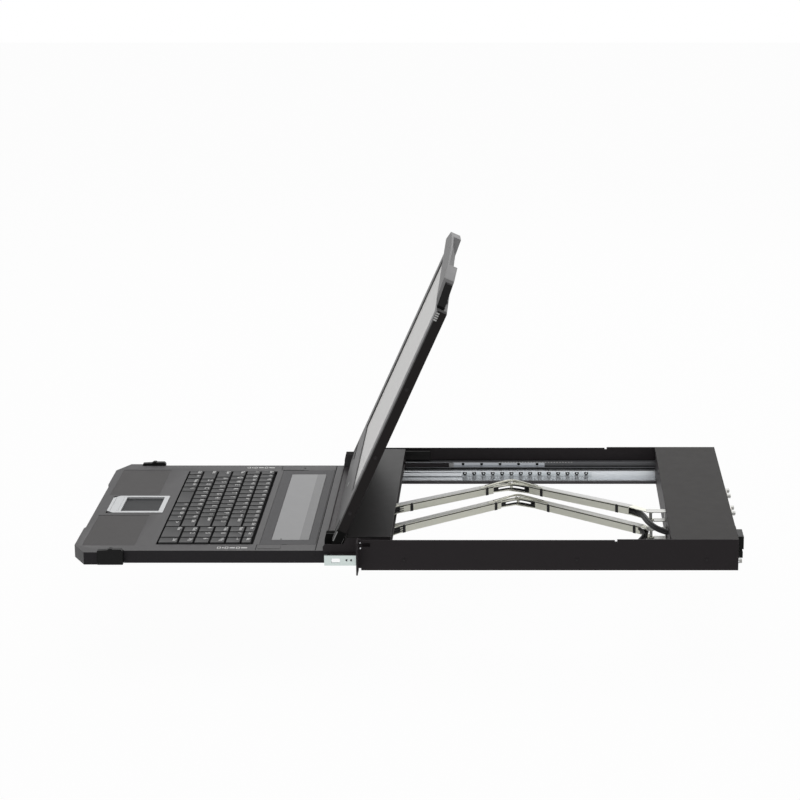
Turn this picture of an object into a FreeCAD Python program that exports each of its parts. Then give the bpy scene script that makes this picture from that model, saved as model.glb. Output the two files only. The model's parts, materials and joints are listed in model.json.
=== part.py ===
# Rack-mounted LCD console drawer, one rack unit high, drawn out and opened.
# Millimetres. X runs along the rack's width and Y into the rack. Z is up.
# The origin is the middle of the rack screw pattern, on the back face of the rack ears.
# Every piece is drawn in its stowed place, with Z counted from the underside of the chassis.
# Its placement then carries it to the pulled-out, opened pose that the product is shown in.
import FreeCAD, Part
import math
import os
import re
import Sketcher

doc = FreeCAD.newDocument("ConsoleDrawer")
sheet = doc.addObject("Spreadsheet::Sheet", "Dims")

SIZES = {
    # chassis: the ears give the width, and the drawers give the depth
    "ear_span": 482.6, "ear_reach": 21.3, "ear_height": 43.6, "ear_sheet": 2, "hole_in": 8.75,
    "hole_pitch": 31.75, "hole_low": 5.95, "slot_width": 7, "slot_length": 10,
    "chassis_height": 42, "wall": 1.5, "floor_flange": 46.5, "wall_step_at": 334, "wall_step": 1,
    "bend_relief": 3, "grip_slot_front": 4.5, "grip_slot_length": 10.5, "grip_slot_low": 32,
    "grip_slot_wide": 5,
    "side_screw_front": 59, "side_screw_middle": 282, "side_screw_rear": 41, "side_screw_high": 14,
    "screw_radius": 2.6, "screw_head": 0.7,
    # rear housing, with its board and sockets
    "arm_room": 90, "housing_depth": 87, "housing_inset": 24.5, "sheet_metal": 1.2,
    "cable_hole_in": 38, "cable_hole_half": 13, "cable_hole_low": 8, "cable_hole_high": 27,
    "vent_left": 150, "vent_pitch": 6, "vent_wide": 3, "vent_low": 12, "vent_high": 30,
    "board_left": 110, "board_right": 90, "board_low": 9, "board_sheet": 1.6, "board_front": 12,
    "board_back": 7.2, "post_in": 6, "post_radius": 3, "chip_height": 2.4, "chip_half": 14, "chip_x": 46,
    "small_chip_half": 10, "small_chip_x": 10, "chip_back": 40,
    "left_port": 57, "right_port": 24, "port_high": 24.5, "port_low": 16.5, "port_half": 8.4,
    "port_taper": 1.4, "port_out": 5.6, "port_flange_half": 15.4, "port_flange_edge": 2.3,
    "port_flange": 0.8, "jack_reach": 12.5, "jack_radius": 2.6, "jack_length": 5,
    "earth_in": 18.5, "earth_high": 6.5, "earth_radius": 3.6, "earth_head": 2.6,
    "inlet_room": 65, "inlet_half": 16.3, "inlet_low": 12.2, "inlet_high": 29.8, "inlet_edge": 3.2,
    "inlet_flange": 3, "inlet_out": 11, "inlet_in": 15.2, "inlet_wall": 2.8, "inlet_floor": 6,
    "blade_half": 1, "blade_low": 19, "blade_high": 23, "blade_pitch": 7.5, "blade_length": 7,
    # slides
    "keyboard_room": 19.5, "tray_room": 9.1, "slide_start": 36, "slide_margin": 9,
    "slide_height": 9.6, "slide_sheet": 1.2, "slide_depth": 8.2, "upper_slide_low": 12.4,
    "upper_slide_start": 40, "upper_slide_margin": 21, "shelf_reach": 18,
    "runner_gap": 1.7, "runner_depth": 5.6, "runner_sheet": 1.1, "runner_margin": 28,
    "lower_runner_length": 163, "upper_runner_length": 141, "cage_sheet": 0.5, "cage_gap": 0.3,
    "lower_cage_length": 250, "upper_cage_length": 213, "upper_cage_back": 40, "cage_edge": 11,
    "lower_ball_pitch": 13.6, "upper_ball_pitch": 27, "ball_hole": 2.3,
    "strike_reach": 44.7, "strike_length": 62, "strike_low": 6, "strike_height": 13.6, "strike_sheet": 1.6,
    "strike_lip": 1.3, "window_front": 9, "window_length": 11.5, "window_up": 3.5, "window_high": 6.1,
    "strike_hole_back": 35, "strike_hole_up": 7.2, "strike_hole": 1.5, "strike_nick_back": 29.5,
    # travels and the opened angle of the display
    "keyboard_travel": 340, "display_travel": 359, "lid_angle": 114.5,
    # keyboard drawer
    "keyboard_stick_out": 35, "keyboard_depth": 349, "keyboard_low": 3.2, "keyboard_high": 20,
    "shell": 2, "front_flare": 7, "flare_end": -0.5, "latch_end": 33, "latch_nest": 2.2,
    "corner_wide": 32, "corner_deep": 17, "deck_start": 281.5, "front_setback": 2,
    "setback_half": 98, "setback_run": 3,
    "well_in_left": 30.5, "well_in_right": 26.5, "key_well_front": 71, "key_well_back": 198.5,
    "key_pitch": 20.6, "key_gap": 1.2, "key_low": 15.4, "key_high": 21.9, "key_taper": 1.3,
    "key_margin": 1.7, "row_margin": 1.5, "stem_half": 2.5, "stem_gap": 0.3, "number_room": 72.5,
    "key_plate_low": 11.2, "key_plate_sheet": 2, "key_plate_rim": 2, "key_plate_lap": 1,
    "pad_left": -45, "pad_right": 33, "pad_front": -17, "pad_back": 60.5, "pad_corner": 9, "pad_lap": 3,
    "pad_hole_left": -39, "pad_hole_right": 26, "pad_hole_front": 2, "pad_hole_back": 54,
    "pad_seat": 16.6, "pad_sheet": 1.2, "pad_back_sheet": 1.6, "pad_proud": 0.6, "fit_gap": 0.25,
    "button_front": -13, "button_back": -2, "button_lift": 1,
    "panel_in": 26, "panel_front": 207, "panel_back": 280.5, "panel_sheet": 1,
    "strip_in": 46, "strip_front": 221, "strip_back": 270,
    "palm_front": -25, "palm_back": 44.5, "palm_deep": 0.5, "palm_right_start": 43, "palm_left_start": 51,
    "palm_right_in": 22, "palm_left_in": 23,
    "latch_reach": 8.4, "latch_root": 0.2, "latch_face": 0.6, "latch_root_top": 18,
    "latch_ramp_low": 22.4, "latch_ramp_high": 23, "latch_bump": 25.1, "latch_top": 24,
    "latch_shoulder": 21.6, "latch_back_slope": 2, "latch_flat": 13, "latch_bump_long": 3.6,
    "latch_bump_rise": 4,
    "arm_plate_half": 9, "arm_plate_sheet": 1.2, "arm_plate_end": 8, "arm_tab_low": 2, "arm_slot": 31,
    "arm_slot_gap": 0.4, "arm_slot_edge": 4,
    # display tray
    "stow_gap": 4, "tray_length": 88, "tray_floor": 22.3, "tray_notch_top": 32, "tray_foot": 13,
    "tray_floor_in": 2, "tray_shelf": 25.5, "tray_lip": 2, "cheek_corner": 3, "cheek_slope": 4,
    "cover_start": 30.5, "hinge_setback": 19, "hinge_height": 34.7, "foot_start": 8,
    "bracket_back": 23.2, "bracket_edge": 3.6, "bracket_wide": 14, "bracket_slot": 6, "bracket_front": 1.2,
    "bracket_behind": 8, "bracket_corner": 2, "bracket_chamfer": 9, "bracket_floor": 3,
    "notch_gap": 1.2, "notch_deep": 23, "pin_radius": 2.5, "pin_lap": 6, "running_gap": 0.05,
    # display lid: distances along it are counted from the hinge axis
    "lid_gap": 0.6, "lid_back": 6.3, "lid_face": 7.5, "lid_root": 8, "lid_grip_long": 37, "lid_end": 371,
    "bezel_sheet": 1.6, "lid_sheet": 1.2, "screen_in": 37.6, "screen_start": 54,
    "screen_edge": 10, "glass_sheet": 1.5, "glass_lap": 3, "panel_top": 4.9, "bore_gap": 0.01,
    "lid_screw_first": 42, "lid_screw_second": 124, "lid_screw_third": 223, "lid_screw_low": 0.5,
    "lid_screw_head": 0.5, "lid_screw_radius": 2.7,
    # the display's moulded grip, its finger scoop, and the catch in each of its corners
    "lid_grip": 13.7, "grip_back": 0.6, "grip_bow": 6, "grip_bow_half": 75, "grip_bow_side": 3.5,
    "grip_ramp": 12, "grip_corner_wide": 52, "grip_corner_deep": 30, "grip_corner_step": 5,
    "scoop_half": 105, "scoop_floor_half": 62, "scoop_deep": 18, "scoop_lip": 3,
    "catch_wide": 43.4, "catch_start": 3, "catch_skin": 4, "catch_room": 2.6, "catch_gap": 0.3,
    # folding cable arms
    "arm_length": 232.5, "arm_back": 20, "arm_right": 79, "lower_arm_shift": 16, "channel_wide": 11,
    "channel_offset": 6.1, "arm_height": 11, "upper_arm_low": 25, "lower_arm_low": 5, "arm_sheet": 1,
    "upper_fold": 17, "lower_fold": 17, "knee_strap": 30, "upper_root_strap": 36, "lower_root_strap": 19,
    "upper_front_strap": 47, "lower_front_strap": 26.5, "strap_lap": 8, "strap_half": 4.6, "arm_pin": 2,
    "arm_gap": 0.3, "cable_radius": 3, "cable_stub": 9, "pin_drop": 1.3, "root_half": 7, "root_front": 6,
}
row = 0
for name, number in SIZES.items():
    row += 1
    sheet.set("A%d" % row, name)
    sheet.set("B%d" % row, str(number))
    sheet.setAlias("B%d" % row, name)

# Places that follow from the sizes above, in the sheet's own words.
DERIVED = {
    "base": "0 - hole_low - hole_pitch / 2",
    "hole_reach": "ear_span / 2 - hole_in",
    "outer": "ear_span / 2 - ear_reach",
    "inner_wall": "outer - wall",
    "keyboard_half": "inner_wall - keyboard_room",
    "tray_half": "inner_wall - tray_room",
    "tray_inside": "tray_half - sheet_metal",
    "lid_half": "tray_inside - lid_gap",
    "housing_half": "inner_wall - housing_inset",
    "keyboard_front": "0 - keyboard_stick_out",
    "keyboard_rear": "keyboard_front + keyboard_depth",
    "housing_front": "keyboard_rear + arm_room",
    "chassis_depth": "housing_front + housing_depth",
    "rear_sheet": "chassis_depth - sheet_metal",
    "inlet_x": "inner_wall - inlet_room",
    "earth_x": "inner_wall - earth_in",
    "cable_hole_x": "arm_right + cable_hole_in",
    "bezel_under": "keyboard_high - shell",
    "slide_low": "wall",
    "slide_end": "chassis_depth - slide_margin",
    "upper_slide_end": "chassis_depth - upper_slide_margin",
    "runner_end": "chassis_depth - runner_margin",
    "lower_runner_start": "runner_end - lower_runner_length",
    "upper_runner_start": "runner_end - upper_runner_length",
    "lower_cage_end": "slide_end",
    "upper_cage_end": "runner_end - upper_cage_back",
    "slide_web": "keyboard_half + slide_depth",
    "slide_top": "slide_low + slide_height",
    "upper_slide_top": "upper_slide_low + slide_height",
    "key_well_left": "well_in_left - keyboard_half",
    "key_well_right": "keyboard_half - well_in_right",
    "number_block": "key_well_right - number_room",
    "key_unit": "(number_block - key_well_left - key_margin) / 14",
    "number_unit": "(number_room - row_margin) / 3",
    "first_row": "key_well_front + row_margin",
    "key_plate_top": "key_plate_low + key_plate_sheet",
    "panel_half": "keyboard_half - panel_in",
    "strip_half": "keyboard_half - strip_in",
    "latch_rear": "latch_end - fit_gap",
    "latch_front": "flare_end + fit_gap",
    "latch_crest": "latch_rear - latch_flat",
    "tray_rear": "housing_front - stow_gap",
    "tray_front": "tray_rear - tray_length",
    "tray_deck": "tray_floor + sheet_metal",
    "tray_floor_half": "keyboard_half - tray_floor_in",
    "cover_under": "chassis_height - sheet_metal",
    "hinge_y": "tray_front + hinge_setback",
    "bracket_in": "tray_inside - bracket_back - bracket_edge",
    "bezel_back": "0 - lid_face + bezel_sheet",
    "screen_half": "lid_half - screen_in",
    "lid_steel_end": "lid_end - lid_grip_long",
    "screen_end": "lid_steel_end - screen_edge",
    "grip_end": "lid_end + grip_bow + 1",
    "grip_slope": "(grip_corner_deep - grip_corner_step) / grip_corner_wide",
    "catch_side": "lid_steel_end + catch_start",
    "arm_root": "housing_front - arm_back",
    "upper_reach": "display_travel + upper_fold",
    "lower_reach": "keyboard_travel + lower_fold",
    "lower_arm_right": "arm_right + lower_arm_shift",
}


def full(text):
    """Write a formula of plain names as one that the sheet's aliases answer."""
    def swap(match):
        word = match.group(0)
        if word in DERIVED:
            return "(" + full(DERIVED[word]) + ")"
        if word in SIZES:
            return "Dims." + word
        return word
    return re.sub(r"[a-z_]+[a-z]", swap, str(text))


def bind(thing, **formulas):
    for prop, text in formulas.items():
        thing.setExpression(prop.replace("__", "."), full(text))


def at(thing, x="0", y="0", z="0"):
    bind(thing, Placement__Base__x=x, Placement__Base__y=y, Placement__Base__z=z)
    return thing


def mirror_span(side, near, far):
    """The X limits of something on the right (side 1) or the left (side -1)."""
    if side > 0:
        return "(%s)" % near, "(%s)" % far
    return "0 - (%s)" % far, "0 - (%s)" % near


def about(middle, half):
    """The limits of something that reaches as far to both sides of its middle."""
    return "(%s) - (%s)" % (middle, half), "(%s) + (%s)" % (middle, half)


def block(x, y, z):
    """A box between pairs of formulas along X, Y and Z."""
    box = doc.addObject("Part::Box", "Block")
    bind(box, Length="(%s) - (%s)" % (x[1], x[0]), Width="(%s) - (%s)" % (y[1], y[0]),
         Height="(%s) - (%s)" % (z[1], z[0]))
    return at(box, x[0], y[0], z[0])


TURNS = {"x": FreeCAD.Rotation(FreeCAD.Vector(0, 1, 0), 90), "z": FreeCAD.Rotation(),
         "y": FreeCAD.Rotation(FreeCAD.Vector(1, 0, 0), -90)}


def rod(axis, radius, length, x, y, z):
    """A cylinder that starts at a point and runs along an axis."""
    pin = doc.addObject("Part::Cylinder", "Rod")
    pin.Placement = FreeCAD.Placement(FreeCAD.Vector(), TURNS[axis])
    bind(pin, Radius=radius, Height=length)
    return at(pin, x, y, z)


def peg(axis, sides, radius, length, x, y, z):
    """A short bar with a regular outline, for small heads, nuts, strap ends and ball holes."""
    bar = doc.addObject("Part::Prism", "Peg")
    bar.Polygon = sides
    bar.Placement = FreeCAD.Placement(FreeCAD.Vector(), TURNS[axis])
    bind(bar, Circumradius=radius, Height=length)
    return at(bar, x, y, z)


def fuse(*pieces):
    whole = doc.addObject("Part::MultiFuse", "Fuse")
    whole.Shapes = list(pieces)
    whole.Refine = True
    return whole


def common(first, second):
    """What two solids share: one outline seen from the side, and one seen from above."""
    whole = doc.addObject("Part::Common", "Common")
    whole.Base = first
    whole.Tool = second
    return whole


def group(*pieces):
    """Separate solids that share one node."""
    whole = doc.addObject("Part::Compound", "Group")
    whole.Links = list(pieces)
    return whole


def cut(base, *tools):
    tool = tools[0] if len(tools) == 1 else group(*tools)
    whole = doc.addObject("Part::Cut", "Cut")
    whole.Base = base
    whole.Tool = tool
    return whole


def outline(plane, points, start, end):
    """A closed outline of formulas, drawn as a sketch on a plane and padded from start to end."""
    body = doc.addObject("PartDesign::Body", "Outline")
    sketch = body.newObject("Sketcher::SketchObject", "Sketch")
    support = [part for part in body.Origin.OriginFeatures if part.Role == plane + "_Plane"][0]
    sketch.AttachmentSupport = [(support, "")]
    sketch.MapMode = "FlatFace"
    count = len(points)
    turn = 2 * math.pi / count
    guess = [FreeCAD.Vector(100 * math.cos(turn * i), 100 * math.sin(turn * i), 0) for i in range(count)]
    for i in range(count):
        sketch.addGeometry(Part.LineSegment(guess[i], guess[(i + 1) % count]), False)
    for i in range(count):
        sketch.addConstraint(Sketcher.Constraint("Coincident", i, 2, (i + 1) % count, 1))
    for i in range(count):
        for kind, first, text in zip(("DistanceX", "DistanceY"), guess[i], points[i]):
            index = sketch.addConstraint(Sketcher.Constraint(kind, -1, 1, i, 1, first))
            sketch.setExpression("Constraints[%d]" % index, full(text))
    # the pad of an XZ sketch runs towards -Y, so it starts from the far end
    offset = "0 - (%s)" % end if plane == "XZ" else start
    bind(sketch, AttachmentOffset__Base__z=offset)
    pad = body.newObject("PartDesign::Pad", "Pad")
    pad.Profile = sketch
    bind(pad, Length="(%s) - (%s)" % (end, start))
    return body


NODES = []


def held(thing):
    """A plain box keeps its own place inside a group, so that the group can be carried."""
    return group(thing) if thing.TypeId in ("Part::Box", "Part::Cylinder") else thing


def node(label, thing, y="0"):
    """Name a finished piece and carry it along Y from its stowed place to where it is shown."""
    thing = held(thing)
    thing.Label = label
    NODES.append(thing)
    return at(thing, "0", y, "base")


def lid_node(label, thing):
    """Name a piece of the lid: it is drawn from the hinge axis, lying shut, and turned open."""
    thing = held(thing)
    thing.Label = label
    NODES.append(thing)
    thing.Placement = FreeCAD.Placement(FreeCAD.Vector(), FreeCAD.Rotation(FreeCAD.Vector(-1, 0, 0), 45))
    bind(thing, Placement__Rotation__Angle="lid_angle")
    return at(thing, "0", "hinge_y - display_travel", "hinge_height + base")


OUT_KEYBOARD = "0 - keyboard_travel"
OUT_DISPLAY = "0 - display_travel"
SIDES = (("right", 1), ("left", -1))


def side_walls():
    """Sheet side walls, bent in at the floor and out into the slotted rack ears."""
    for word, side in SIDES:
        def through(y, z):
            return block(mirror_span(side, "inner_wall - 1", "outer + 1"), y, z)
        wall = block(mirror_span(side, "inner_wall", "outer"), ("0", "chassis_depth"),
                     ("0", "chassis_height"))
        floor = block(mirror_span(side, "inner_wall - floor_flange", "outer"),
                      ("bend_relief", "chassis_depth"), ("0", "wall"))
        ear = block(mirror_span(side, "inner_wall", "ear_span / 2"), ("0 - ear_sheet", "0"),
                    ("0", "ear_height"))
        low_front = through(("bend_relief", "wall_step_at"),
                            ("chassis_height - wall_step", "chassis_height + 1"))
        nick = through(("wall_step_at - 3 * wall_step", "wall_step_at"),
                       ("chassis_height - 3 * wall_step", "chassis_height + 1"))
        relief = through(("0", "bend_relief"), ("0 - 1", "bend_relief"))
        grip = through(("grip_slot_front", "grip_slot_front + grip_slot_length"),
                       ("grip_slot_low", "grip_slot_low + grip_slot_wide"))
        tools = [low_front, relief, nick, grip]
        straight = "(slot_length - slot_width) / 2"
        middle = "hole_reach" if side > 0 else "0 - hole_reach"
        for low in ("hole_low", "hole_low + hole_pitch"):
            tools.append(block(about(middle, straight), ("0 - ear_sheet - 1", "1"),
                               about(low, "slot_width / 2")))
            for end in about(middle, straight):
                tools.append(rod("y", "slot_width / 2", "ear_sheet + 2", end, "0 - ear_sheet - 1", low))
        node(word + "_side_wall", cut(fuse(wall, floor, ear), *tools))


def channel(side, web_in, web_out, tip, low, high, start, end, thick):
    """A channel with its web between two X places and both legs reaching in to a tip."""
    return [block(mirror_span(side, web_in, web_out), (start, end), (low, high)),
            block(mirror_span(side, tip, web_in), (start, end), (low, "(%s) + %s" % (low, thick))),
            block(mirror_span(side, tip, web_in), (start, end), ("(%s) - %s" % (high, thick), high))]


def slides():
    """Two ball slides a side: a fixed rail, a ball cage and a runner that the drawer hangs on."""
    for word, side in SIDES:
        rail = channel(side, "slide_web", "slide_web + slide_sheet", "keyboard_half + runner_gap",
                       "slide_low", "slide_top", "slide_start", "slide_end", "slide_sheet")
        shelf = block(mirror_span(side, "keyboard_half - shelf_reach", "inner_wall"),
                      ("slide_start", "slide_end"), ("slide_low", "slide_low + slide_sheet"))
        node("%s_lower_rail" % word, fuse(shelf, *rail))
        rail = channel(side, "inner_wall - slide_sheet", "inner_wall", "tray_half + runner_gap",
                       "upper_slide_low", "upper_slide_top", "upper_slide_start", "upper_slide_end",
                       "slide_sheet")
        node("%s_upper_rail" % word, fuse(*rail))
        for level, low, half, web, count, travel in (
                ("lower", "slide_low", "keyboard_half", "slide_web", 17, "keyboard_travel"),
                ("upper", "upper_slide_low", "tray_half", "inner_wall - slide_sheet", 7, "display_travel")):
            # the runner rides inside the cage, and the cage inside the rail
            floor = low + " + slide_sheet + 2 * cage_gap + cage_sheet"
            roof = low + " + slide_height - slide_sheet - 2 * cage_gap - cage_sheet"
            start = level + "_runner_start"
            runner = [block(mirror_span(side, half, half + " + runner_sheet"), (start, "runner_end"),
                            (floor, roof))]
            for edge in (floor, roof + " - runner_sheet"):
                runner.append(block(mirror_span(side, half + " + runner_sheet", half + " + runner_depth"),
                                    (start, "runner_end"), (edge, edge + " + runner_sheet")))
            node("%s_%s_runner" % (word, level), fuse(*runner), "0 - " + travel)
            end = level + "_cage_end"
            cage = channel(side, web + " - cage_gap - cage_sheet", web + " - cage_gap",
                           half + " + runner_gap + 1", low + " + slide_sheet + cage_gap",
                           low + " + slide_height - slide_sheet - cage_gap",
                           "%s - %s_cage_length" % (end, level), end, "cage_sheet")
            holes = []
            for i in range(count):
                left = mirror_span(side, half + " + runner_depth", web + " + 2")[0]
                place = "%s - cage_edge - %d * %s_ball_pitch" % (end, i, level)
                holes.append(peg("x", 8, "ball_hole", "%s + 2 - (%s + runner_depth)" % (web, half), left,
                                 place, low + " + slide_height / 2"))
            node("%s_%s_cage" % (word, level), cut(fuse(*cage), *holes), "0 - %s / 2" % travel)


def strikes():
    """A plate on each wall at the mouth of the chassis, whose window and hole take the drawer's catch."""
    front = "0 - strike_reach"
    top = "strike_low + strike_height"
    for word, side in SIDES:
        plate = block(mirror_span(side, "inner_wall - strike_sheet", "inner_wall"),
                      (front, front + " + strike_length"), ("strike_low", top))
        lip_span = mirror_span(side, "inner_wall - strike_sheet - strike_lip", "inner_wall - strike_sheet")
        front_lip = block(lip_span, (front, front + " + strike_sheet"), ("strike_low", top))
        top_lip = block(lip_span, (front + " + strike_sheet", front + " + strike_length"),
                        (top + " - strike_sheet", top))
        through = mirror_span(side, "inner_wall - strike_sheet - 1", "inner_wall + 1")
        window = block(through, (front + " + window_front", front + " + window_front + window_length"),
                       ("strike_low + window_up", "strike_low + window_up + window_high"))
        hole = rod("x", "strike_hole", "strike_sheet + 2", through[0], front + " + strike_hole_back",
                   "strike_low + strike_hole_up")
        nick = block(through, about(front + " + strike_nick_back", "strike_hole / 2"),
                     about("strike_low + strike_hole_up", "strike_hole"))
        node("%s_strike" % word, cut(fuse(plate, front_lip, top_lip), window, hole, nick))


def rear_housing():
    """The electronics box across the back, with its cover and the mains inlet's opening."""
    floor = block(("0 - housing_half", "housing_half"), ("housing_front", "rear_sheet"), ("0", "sheet_metal"))
    front = block(("0 - housing_half", "housing_half"), ("housing_front", "housing_front + sheet_metal"),
                  ("0", "cover_under"))
    rear = block(("0 - inner_wall", "inner_wall"), ("rear_sheet", "chassis_depth"), ("0", "cover_under"))
    through = ("rear_sheet - 1", "chassis_depth + 1")
    tools = []
    for word, side in SIDES:
        tools.append(block(mirror_span(side, "inner_wall - floor_flange", "outer + 1"),
                           ("housing_front - 1", "chassis_depth + 1"), ("0 - 1", "wall")))
        tools.append(block(mirror_span(side, "keyboard_half - shelf_reach", "outer + 1"),
                           ("housing_front - 1", "slide_end"), ("0", "slide_low + slide_sheet")))
    tools.append(block(about("inlet_x", "inlet_half + fit_gap"), through,
                       ("inlet_low - fit_gap", "inlet_high + fit_gap")))
    for i in range(12):
        start = "%d * vent_pitch - vent_left" % i
        tools.append(block((start, start + " + vent_wide"), through, ("vent_low", "vent_high")))
    tools.append(block(about("cable_hole_x", "cable_hole_half"),
                       ("housing_front - 1", "housing_front + sheet_metal + 1"),
                       ("cable_hole_low", "cable_hole_high")))
    node("rear_housing", cut(fuse(floor, front, rear), *tools))
    node("rear_cover", block(("0 - inner_wall", "inner_wall"), ("housing_front", "chassis_depth"),
                             ("cover_under", "chassis_height")))


def electronics():
    """The board on its posts, the two video sockets, the mains inlet, and the screws of all these."""
    board_top = "board_low + board_sheet"
    board_y = ("housing_front + board_front", "chassis_depth - board_back")
    board = block(("0 - board_left", "board_right"), board_y, ("board_low", board_top))
    pieces = []
    for x in ("post_in - board_left", "board_right - post_in"):
        for y in (board_y[0] + " + post_in", board_y[1] + " - post_in"):
            pieces.append(peg("z", 6, "post_radius", "board_low - sheet_metal", x, y, "sheet_metal"))
    middle = "housing_front + chip_back"
    pieces.append(block(about("0 - chip_x", "chip_half"), about(middle, "chip_half"),
                        (board_top, board_top + " + chip_height")))
    pieces.append(block(about("small_chip_x", "small_chip_half"), about(middle, "small_chip_half"),
                        (board_top, board_top + " + chip_height")))
    node("main_board", fuse(board, *pieces))
    ports = []
    screws = []
    for x in ("0 - left_port", "right_port"):
        wide = about(x, "port_half")
        narrow = about(x, "port_half - port_taper")
        shell = outline("XZ", [(wide[0], "port_high"), (wide[1], "port_high"), (narrow[1], "port_low"),
                               (narrow[0], "port_low")], "chassis_depth", "chassis_depth + port_out")
        flange = block(about(x, "port_flange_half"), ("chassis_depth", "chassis_depth + port_flange"),
                       ("port_low - port_flange_edge", "port_high + port_flange_edge"))
        ports.append(fuse(shell, flange))
        for place in about(x, "jack_reach"):
            screws.append(peg("y", 6, "jack_radius", "jack_length", place, "chassis_depth + port_flange",
                              "(port_low + port_high) / 2"))
    node("video_ports", group(*ports))
    screws.append(peg("y", 6, "earth_radius", "earth_head", "earth_x", "chassis_depth", "earth_high"))
    node("rear_screws", group(*screws))
    flange = block(about("inlet_x", "inlet_half + inlet_edge"),
                   ("chassis_depth", "chassis_depth + inlet_flange"),
                   ("inlet_low - inlet_edge", "inlet_high + inlet_edge"))
    body = block(about("inlet_x", "inlet_half"), ("chassis_depth - inlet_in", "chassis_depth + inlet_out"),
                 ("inlet_low", "inlet_high"))
    hollow = block(about("inlet_x", "inlet_half - inlet_wall"),
                   ("chassis_depth - inlet_floor", "chassis_depth + inlet_out + 1"),
                   ("inlet_low + inlet_wall", "inlet_high - inlet_wall"))
    blades = []
    for x in ("inlet_x - blade_pitch", "inlet_x", "inlet_x + blade_pitch"):
        blades.append(block(about(x, "blade_half"),
                            ("chassis_depth - inlet_floor - 1", "chassis_depth + blade_length"),
                            ("blade_low", "blade_high")))
    node("power_inlet", fuse(cut(fuse(flange, body), hollow), *blades))
    heads = []
    for word, side in SIDES:
        for place in ("side_screw_front", "side_screw_middle", "chassis_depth - side_screw_rear"):
            start = mirror_span(side, "outer", "outer + screw_head")[0]
            heads.append(peg("x", 12, "screw_radius", "screw_head", start, place, "side_screw_high"))
    node("chassis_screws", group(*heads))


def arm_roots():
    """Two small brackets on the housing's front wall, each with the pin that an arm swings on."""
    brackets = []
    for x, low in (("arm_right", "upper_arm_low"), ("lower_arm_right", "lower_arm_low")):
        bottom = low + " - arm_gap - arm_sheet"
        top = low + " + arm_height + arm_gap"
        span = about(x, "root_half")
        reach = ("arm_root - root_front", "housing_front")
        plates = [block(span, reach, (edge, edge + " + arm_sheet")) for edge in (bottom, top)]
        back_plate = block(span, ("housing_front - arm_sheet", "housing_front"),
                           (bottom, top + " + arm_sheet"))
        pin = rod("z", "arm_pin", "arm_height + 2 * arm_gap + 2 * arm_sheet", x, "arm_root", bottom)
        brackets.append(fuse(back_plate, pin, *plates))
    node("arm_root_brackets", group(*brackets))


def keyboard_plan(inset):
    """The drawer's outline seen from above, drawn in by an inset all round."""
    wide = "keyboard_half + front_flare - " + inset
    nest = "keyboard_half - latch_nest - " + inset
    right = [("setback_half", "keyboard_front + front_setback + " + inset),
             ("setback_half + setback_run", "keyboard_front + " + inset),
             ("keyboard_half + front_flare - corner_wide", "keyboard_front + " + inset),
             (wide, "keyboard_front + corner_deep + %s / 2" % inset),
             (wide, "flare_end - " + inset), (nest, "flare_end - " + inset), (nest, "latch_end + " + inset),
             ("keyboard_half - " + inset, "latch_end + " + inset),
             ("keyboard_half - " + inset, "deck_start + 1" if inset != "0" else "deck_start")]
    return right + [("0 - (%s)" % x, y) for x, y in reversed(right)]


def keyboard_shell():
    """The moulded top of the keyboard drawer, its metal pan, and the panel and strip behind the keys."""
    shell = outline("XY", keyboard_plan("0"), "keyboard_low", "keyboard_high")
    hollow = outline("XY", keyboard_plan("shell"), "keyboard_low - 1", "bezel_under")
    above = "keyboard_high + 1"
    well = block(("key_well_left", "key_well_right"), ("key_well_front", "key_well_back"),
                 ("bezel_under - 1", above))
    pad = block(("pad_left - fit_gap", "pad_right + fit_gap"), ("pad_front - fit_gap", "pad_back + fit_gap"),
                ("bezel_under - 1", above))
    panel_seat = block(about("0", "panel_half + fit_gap"), ("panel_front - fit_gap", "panel_back + fit_gap"),
                       ("keyboard_high - panel_sheet", above))
    palms = [block(span, ("palm_front", "palm_back"), ("keyboard_high - palm_deep", above))
             for span in (("palm_right_start", "keyboard_half - palm_right_in"),
                          ("palm_left_in - keyboard_half", "0 - palm_left_start"))]
    node("keyboard_bezel", cut(shell, hollow, well, pad, panel_seat, *palms), OUT_KEYBOARD)
    bottom = outline("XY", keyboard_plan("(shell + fit_gap)"), "keyboard_low", "keyboard_low + sheet_metal")
    box = block(about("0", "keyboard_half"), ("deck_start", "keyboard_rear"),
                ("keyboard_low", "keyboard_high"))
    room = block(about("0", "keyboard_half - sheet_metal"), ("deck_start - 1", "keyboard_rear - sheet_metal"),
                 ("keyboard_low + sheet_metal", "keyboard_high - sheet_metal"))
    node("keyboard_pan", fuse(bottom, cut(box, room)), OUT_KEYBOARD)
    level = ("keyboard_high - panel_sheet", "keyboard_high")
    plate = block(about("0", "panel_half"), ("panel_front", "panel_back"), level)
    hole = block(about("0", "strip_half + fit_gap"), ("strip_front - fit_gap", "strip_back + fit_gap"),
                 ("keyboard_high - panel_sheet - 1", above))
    node("panel_plate", cut(plate, hole), OUT_KEYBOARD)
    strip = block(about("0", "strip_half"), ("strip_front", "strip_back"), level)
    node("function_strip", strip, OUT_KEYBOARD)


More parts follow.
